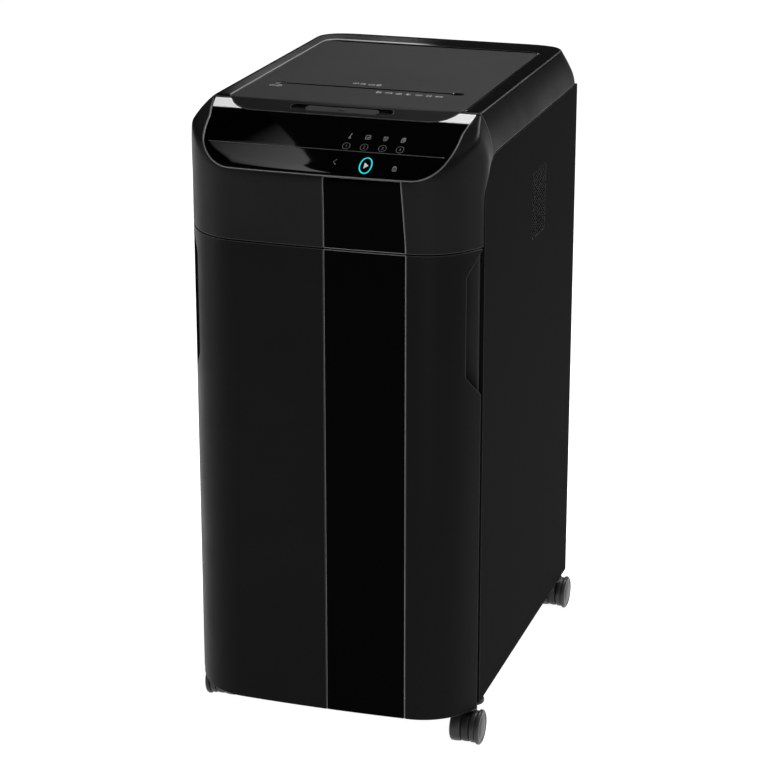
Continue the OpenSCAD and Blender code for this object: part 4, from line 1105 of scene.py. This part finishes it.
joined("pocket_edge_painted_highlight", [tube(on_slope_place(0, 0, 0)(pk, -0.22), 0.32, 8, closed=True)], "lid", ["painted_highlight_edge_dim"], 0.001)
# silver lead-ins behind the slot's ends
parts = []
for s in (-1, 1):
    q = np.array([(s * 95, 192.1), (s * 98, 197.6), (s * 112.5, 196.4), (s * 110.5, 192.1)], float)
    q = q if s > 0 else q[::-1]
    c = q.mean(0)
    rings = [(1.0, 819.5), (1.0, 819.93), (0.94, 819.98), (0.5, 819.98)]
    V = np.concatenate([np.concatenate([c + (q - c) * k, np.full((4, 1), z)], -1) for k, z in rings])
    parts.append((V, grid_faces(4, 4, close_m=True) + [(0, 1, 2, 3), (12, 13, 14, 15)]))
joined("slot_lead_ins", parts, "lid", ["silver"], 0.001)
tri2 = np.array([(-5.2, -1.9), (0, 2.2), (5.2, -1.9)])
pl = on_slope_place(0, 0.2, -0.8)
ring_pts = dense(np.vstack([tri2, tri2[:1]]), 0.6)[:-1]
ctr = tri2.mean(0)
low, mid_, topc = pl(ring_pts, -0.3), pl(ring_pts, 0.25), pl(lerp(ring_pts, ctr, 0.18), 0.55)
cv = pl(ctr[None], 0.6)
n = len(ring_pts)
V = np.concatenate([low, mid_, topc, cv])
Fq = grid_faces(3, n, close_m=True) + [(2 * n + j, 2 * n + (j + 1) % n, 3 * n) for j in range(n)] + [tuple(range(n))]
o = add_mesh("button_arrow", V, Fq, "latch", ["button_grey"])
clean(o, 0.0005)

# ---------------------------------------------------------------- stage, light, camera


def plane(name, corners, mat, stage=True):
    me = bpy.data.meshes.new(name)
    me.from_pydata([tuple(c) for c in corners], [], [(0, 1, 2, 3)])
    me.materials.append(mat)
    o = bpy.data.objects.new(name, me)
    bpy.context.scene.collection.objects.link(o)
    return o


fl = bpy.data.materials.new("floor_white")
fl.use_nodes = True
nt = fl.node_tree
nt.nodes.clear()
out = nt.nodes.new("ShaderNodeOutputMaterial")
b = nt.nodes.new("ShaderNodeBsdfPrincipled")
b.inputs["Base Color"].default_value = (0.5, 0.5, 0.5, 1)
b.inputs["Roughness"].default_value = 0.9
b.inputs["Specular IOR Level"].default_value = 0.1
b.inputs["Emission Color"].default_value = (1, 1, 1, 1)
b.inputs["Emission Strength"].default_value = 0.97
nt.links.new(b.outputs[0], out.inputs[0])
floor = plane("floor", [(-40, -40, 0), (40, -40, 0), (40, 60, 0), (-40, 60, 0)], fl)

world = bpy.data.worlds.new("studio")
bpy.context.scene.world = world
world.use_nodes = True
world.node_tree.nodes["Background"].inputs[0].default_value = (0.9, 0.93, 1, 1)
world.node_tree.nodes["Background"].inputs[1].default_value = 0.02


def area(name, loc, target, size, power, spread=180, colour=(1, 1, 1)):
    L = bpy.data.lights.new(name, "AREA")
    L.shape = "RECTANGLE"
    L.size, L.size_y = size
    L.energy = power
    L.color = colour
    L.spread = rad(spread)
    o = bpy.data.objects.new(name, L)
    o.location = loc
    d = Vector(target) - Vector(loc)
    o.rotation_euler = d.to_track_quat("-Z", "Y").to_euler()
    bpy.context.scene.collection.objects.link(o)
    return o


area("top_soft", (1.0, 1.35, 2.8), (0, 0.05, 0.8), (1.5, 1.5), 108)
area("left_strip", (-2.0, -0.75, 0.9), (-0.15, -0.2, 0.4), (0.20, 1.9), 9)
area("front_strip", (1.1, -2.6, 0.8), (0.12, -0.2, 0.45), (0.16, 1.9), 14.0)


def card(name, corners, strength, axis, lo, hi):
    """A glowing sheet whose brightness runs from nothing to strength along an axis."""
    m = bpy.data.materials.new(name)
    m.use_nodes = True
    nt = m.node_tree
    nt.nodes.clear()
    out = nt.nodes.new("ShaderNodeOutputMaterial")
    e = nt.nodes.new("ShaderNodeEmission")
    nt.links.new(e.outputs[0], out.inputs[0])
    tc = nt.nodes.new("ShaderNodeTexCoord")
    dot = nt.nodes.new("ShaderNodeVectorMath")
    dot.operation = "DOT_PRODUCT"
    dot.inputs[1].default_value = axis
    nt.links.new(tc.outputs["Object"], dot.inputs[0])
    mr = nt.nodes.new("ShaderNodeMapRange")
    mr.inputs["From Min"].default_value = lo
    mr.inputs["From Max"].default_value = hi
    mr.inputs["To Min"].default_value = 0.0
    mr.inputs["To Max"].default_value = strength
    nt.links.new(dot.outputs["Value"], mr.inputs["Value"])
    nt.links.new(mr.outputs[0], e.inputs["Strength"])
    me = bpy.data.meshes.new(name)
    me.from_pydata([tuple(c) for c in corners], [], [tuple(range(len(corners)))])
    me.materials.append(m)
    o = bpy.data.objects.new(name, me)
    bpy.context.scene.collection.objects.link(o)
    return o


card("panel_card", [(-1.85, 1.70, 5.2), (-1.762, 1.397, 5.2), (-1.697, 1.174, 5.2), (-1.619, 0.908, 5.2), (-1.516, -0.329, 5.2), (-1.60, -1.6, 5.2),
                    (-1.746, -3.053, 5.2), (-1.80, -3.7, 5.2), (-3.2, -3.7, 5.2), (-3.2, 3.2, 5.2), (-2.2, 3.2, 5.2)], 3.4, (1.0, -0.2, 0.0), -1.97, -1.14)
card("rim_card", [(-3.34, 8.0, 2.6), (-2.35, 8.0, 2.6), (-2.5, 8.0, 4.4), (-3.34, 8.0, 4.4)], 3.0, (1, 0, 0), -3.34, -2.35)

cam = bpy.data.cameras.new("camera")
cam.lens = 120.267
cam.sensor_width = 36
co = bpy.data.objects.new("camera", cam)
co.location = (0.9782, -3.0933, 1.4996)
co.rotation_euler = (rad(71.330), 0, rad(17.604))
bpy.context.scene.collection.objects.link(co)
bpy.context.scene.camera = co
bpy.context.scene.view_settings.view_transform = "Standard"
bpy.context.scene.view_settings.look = "None"
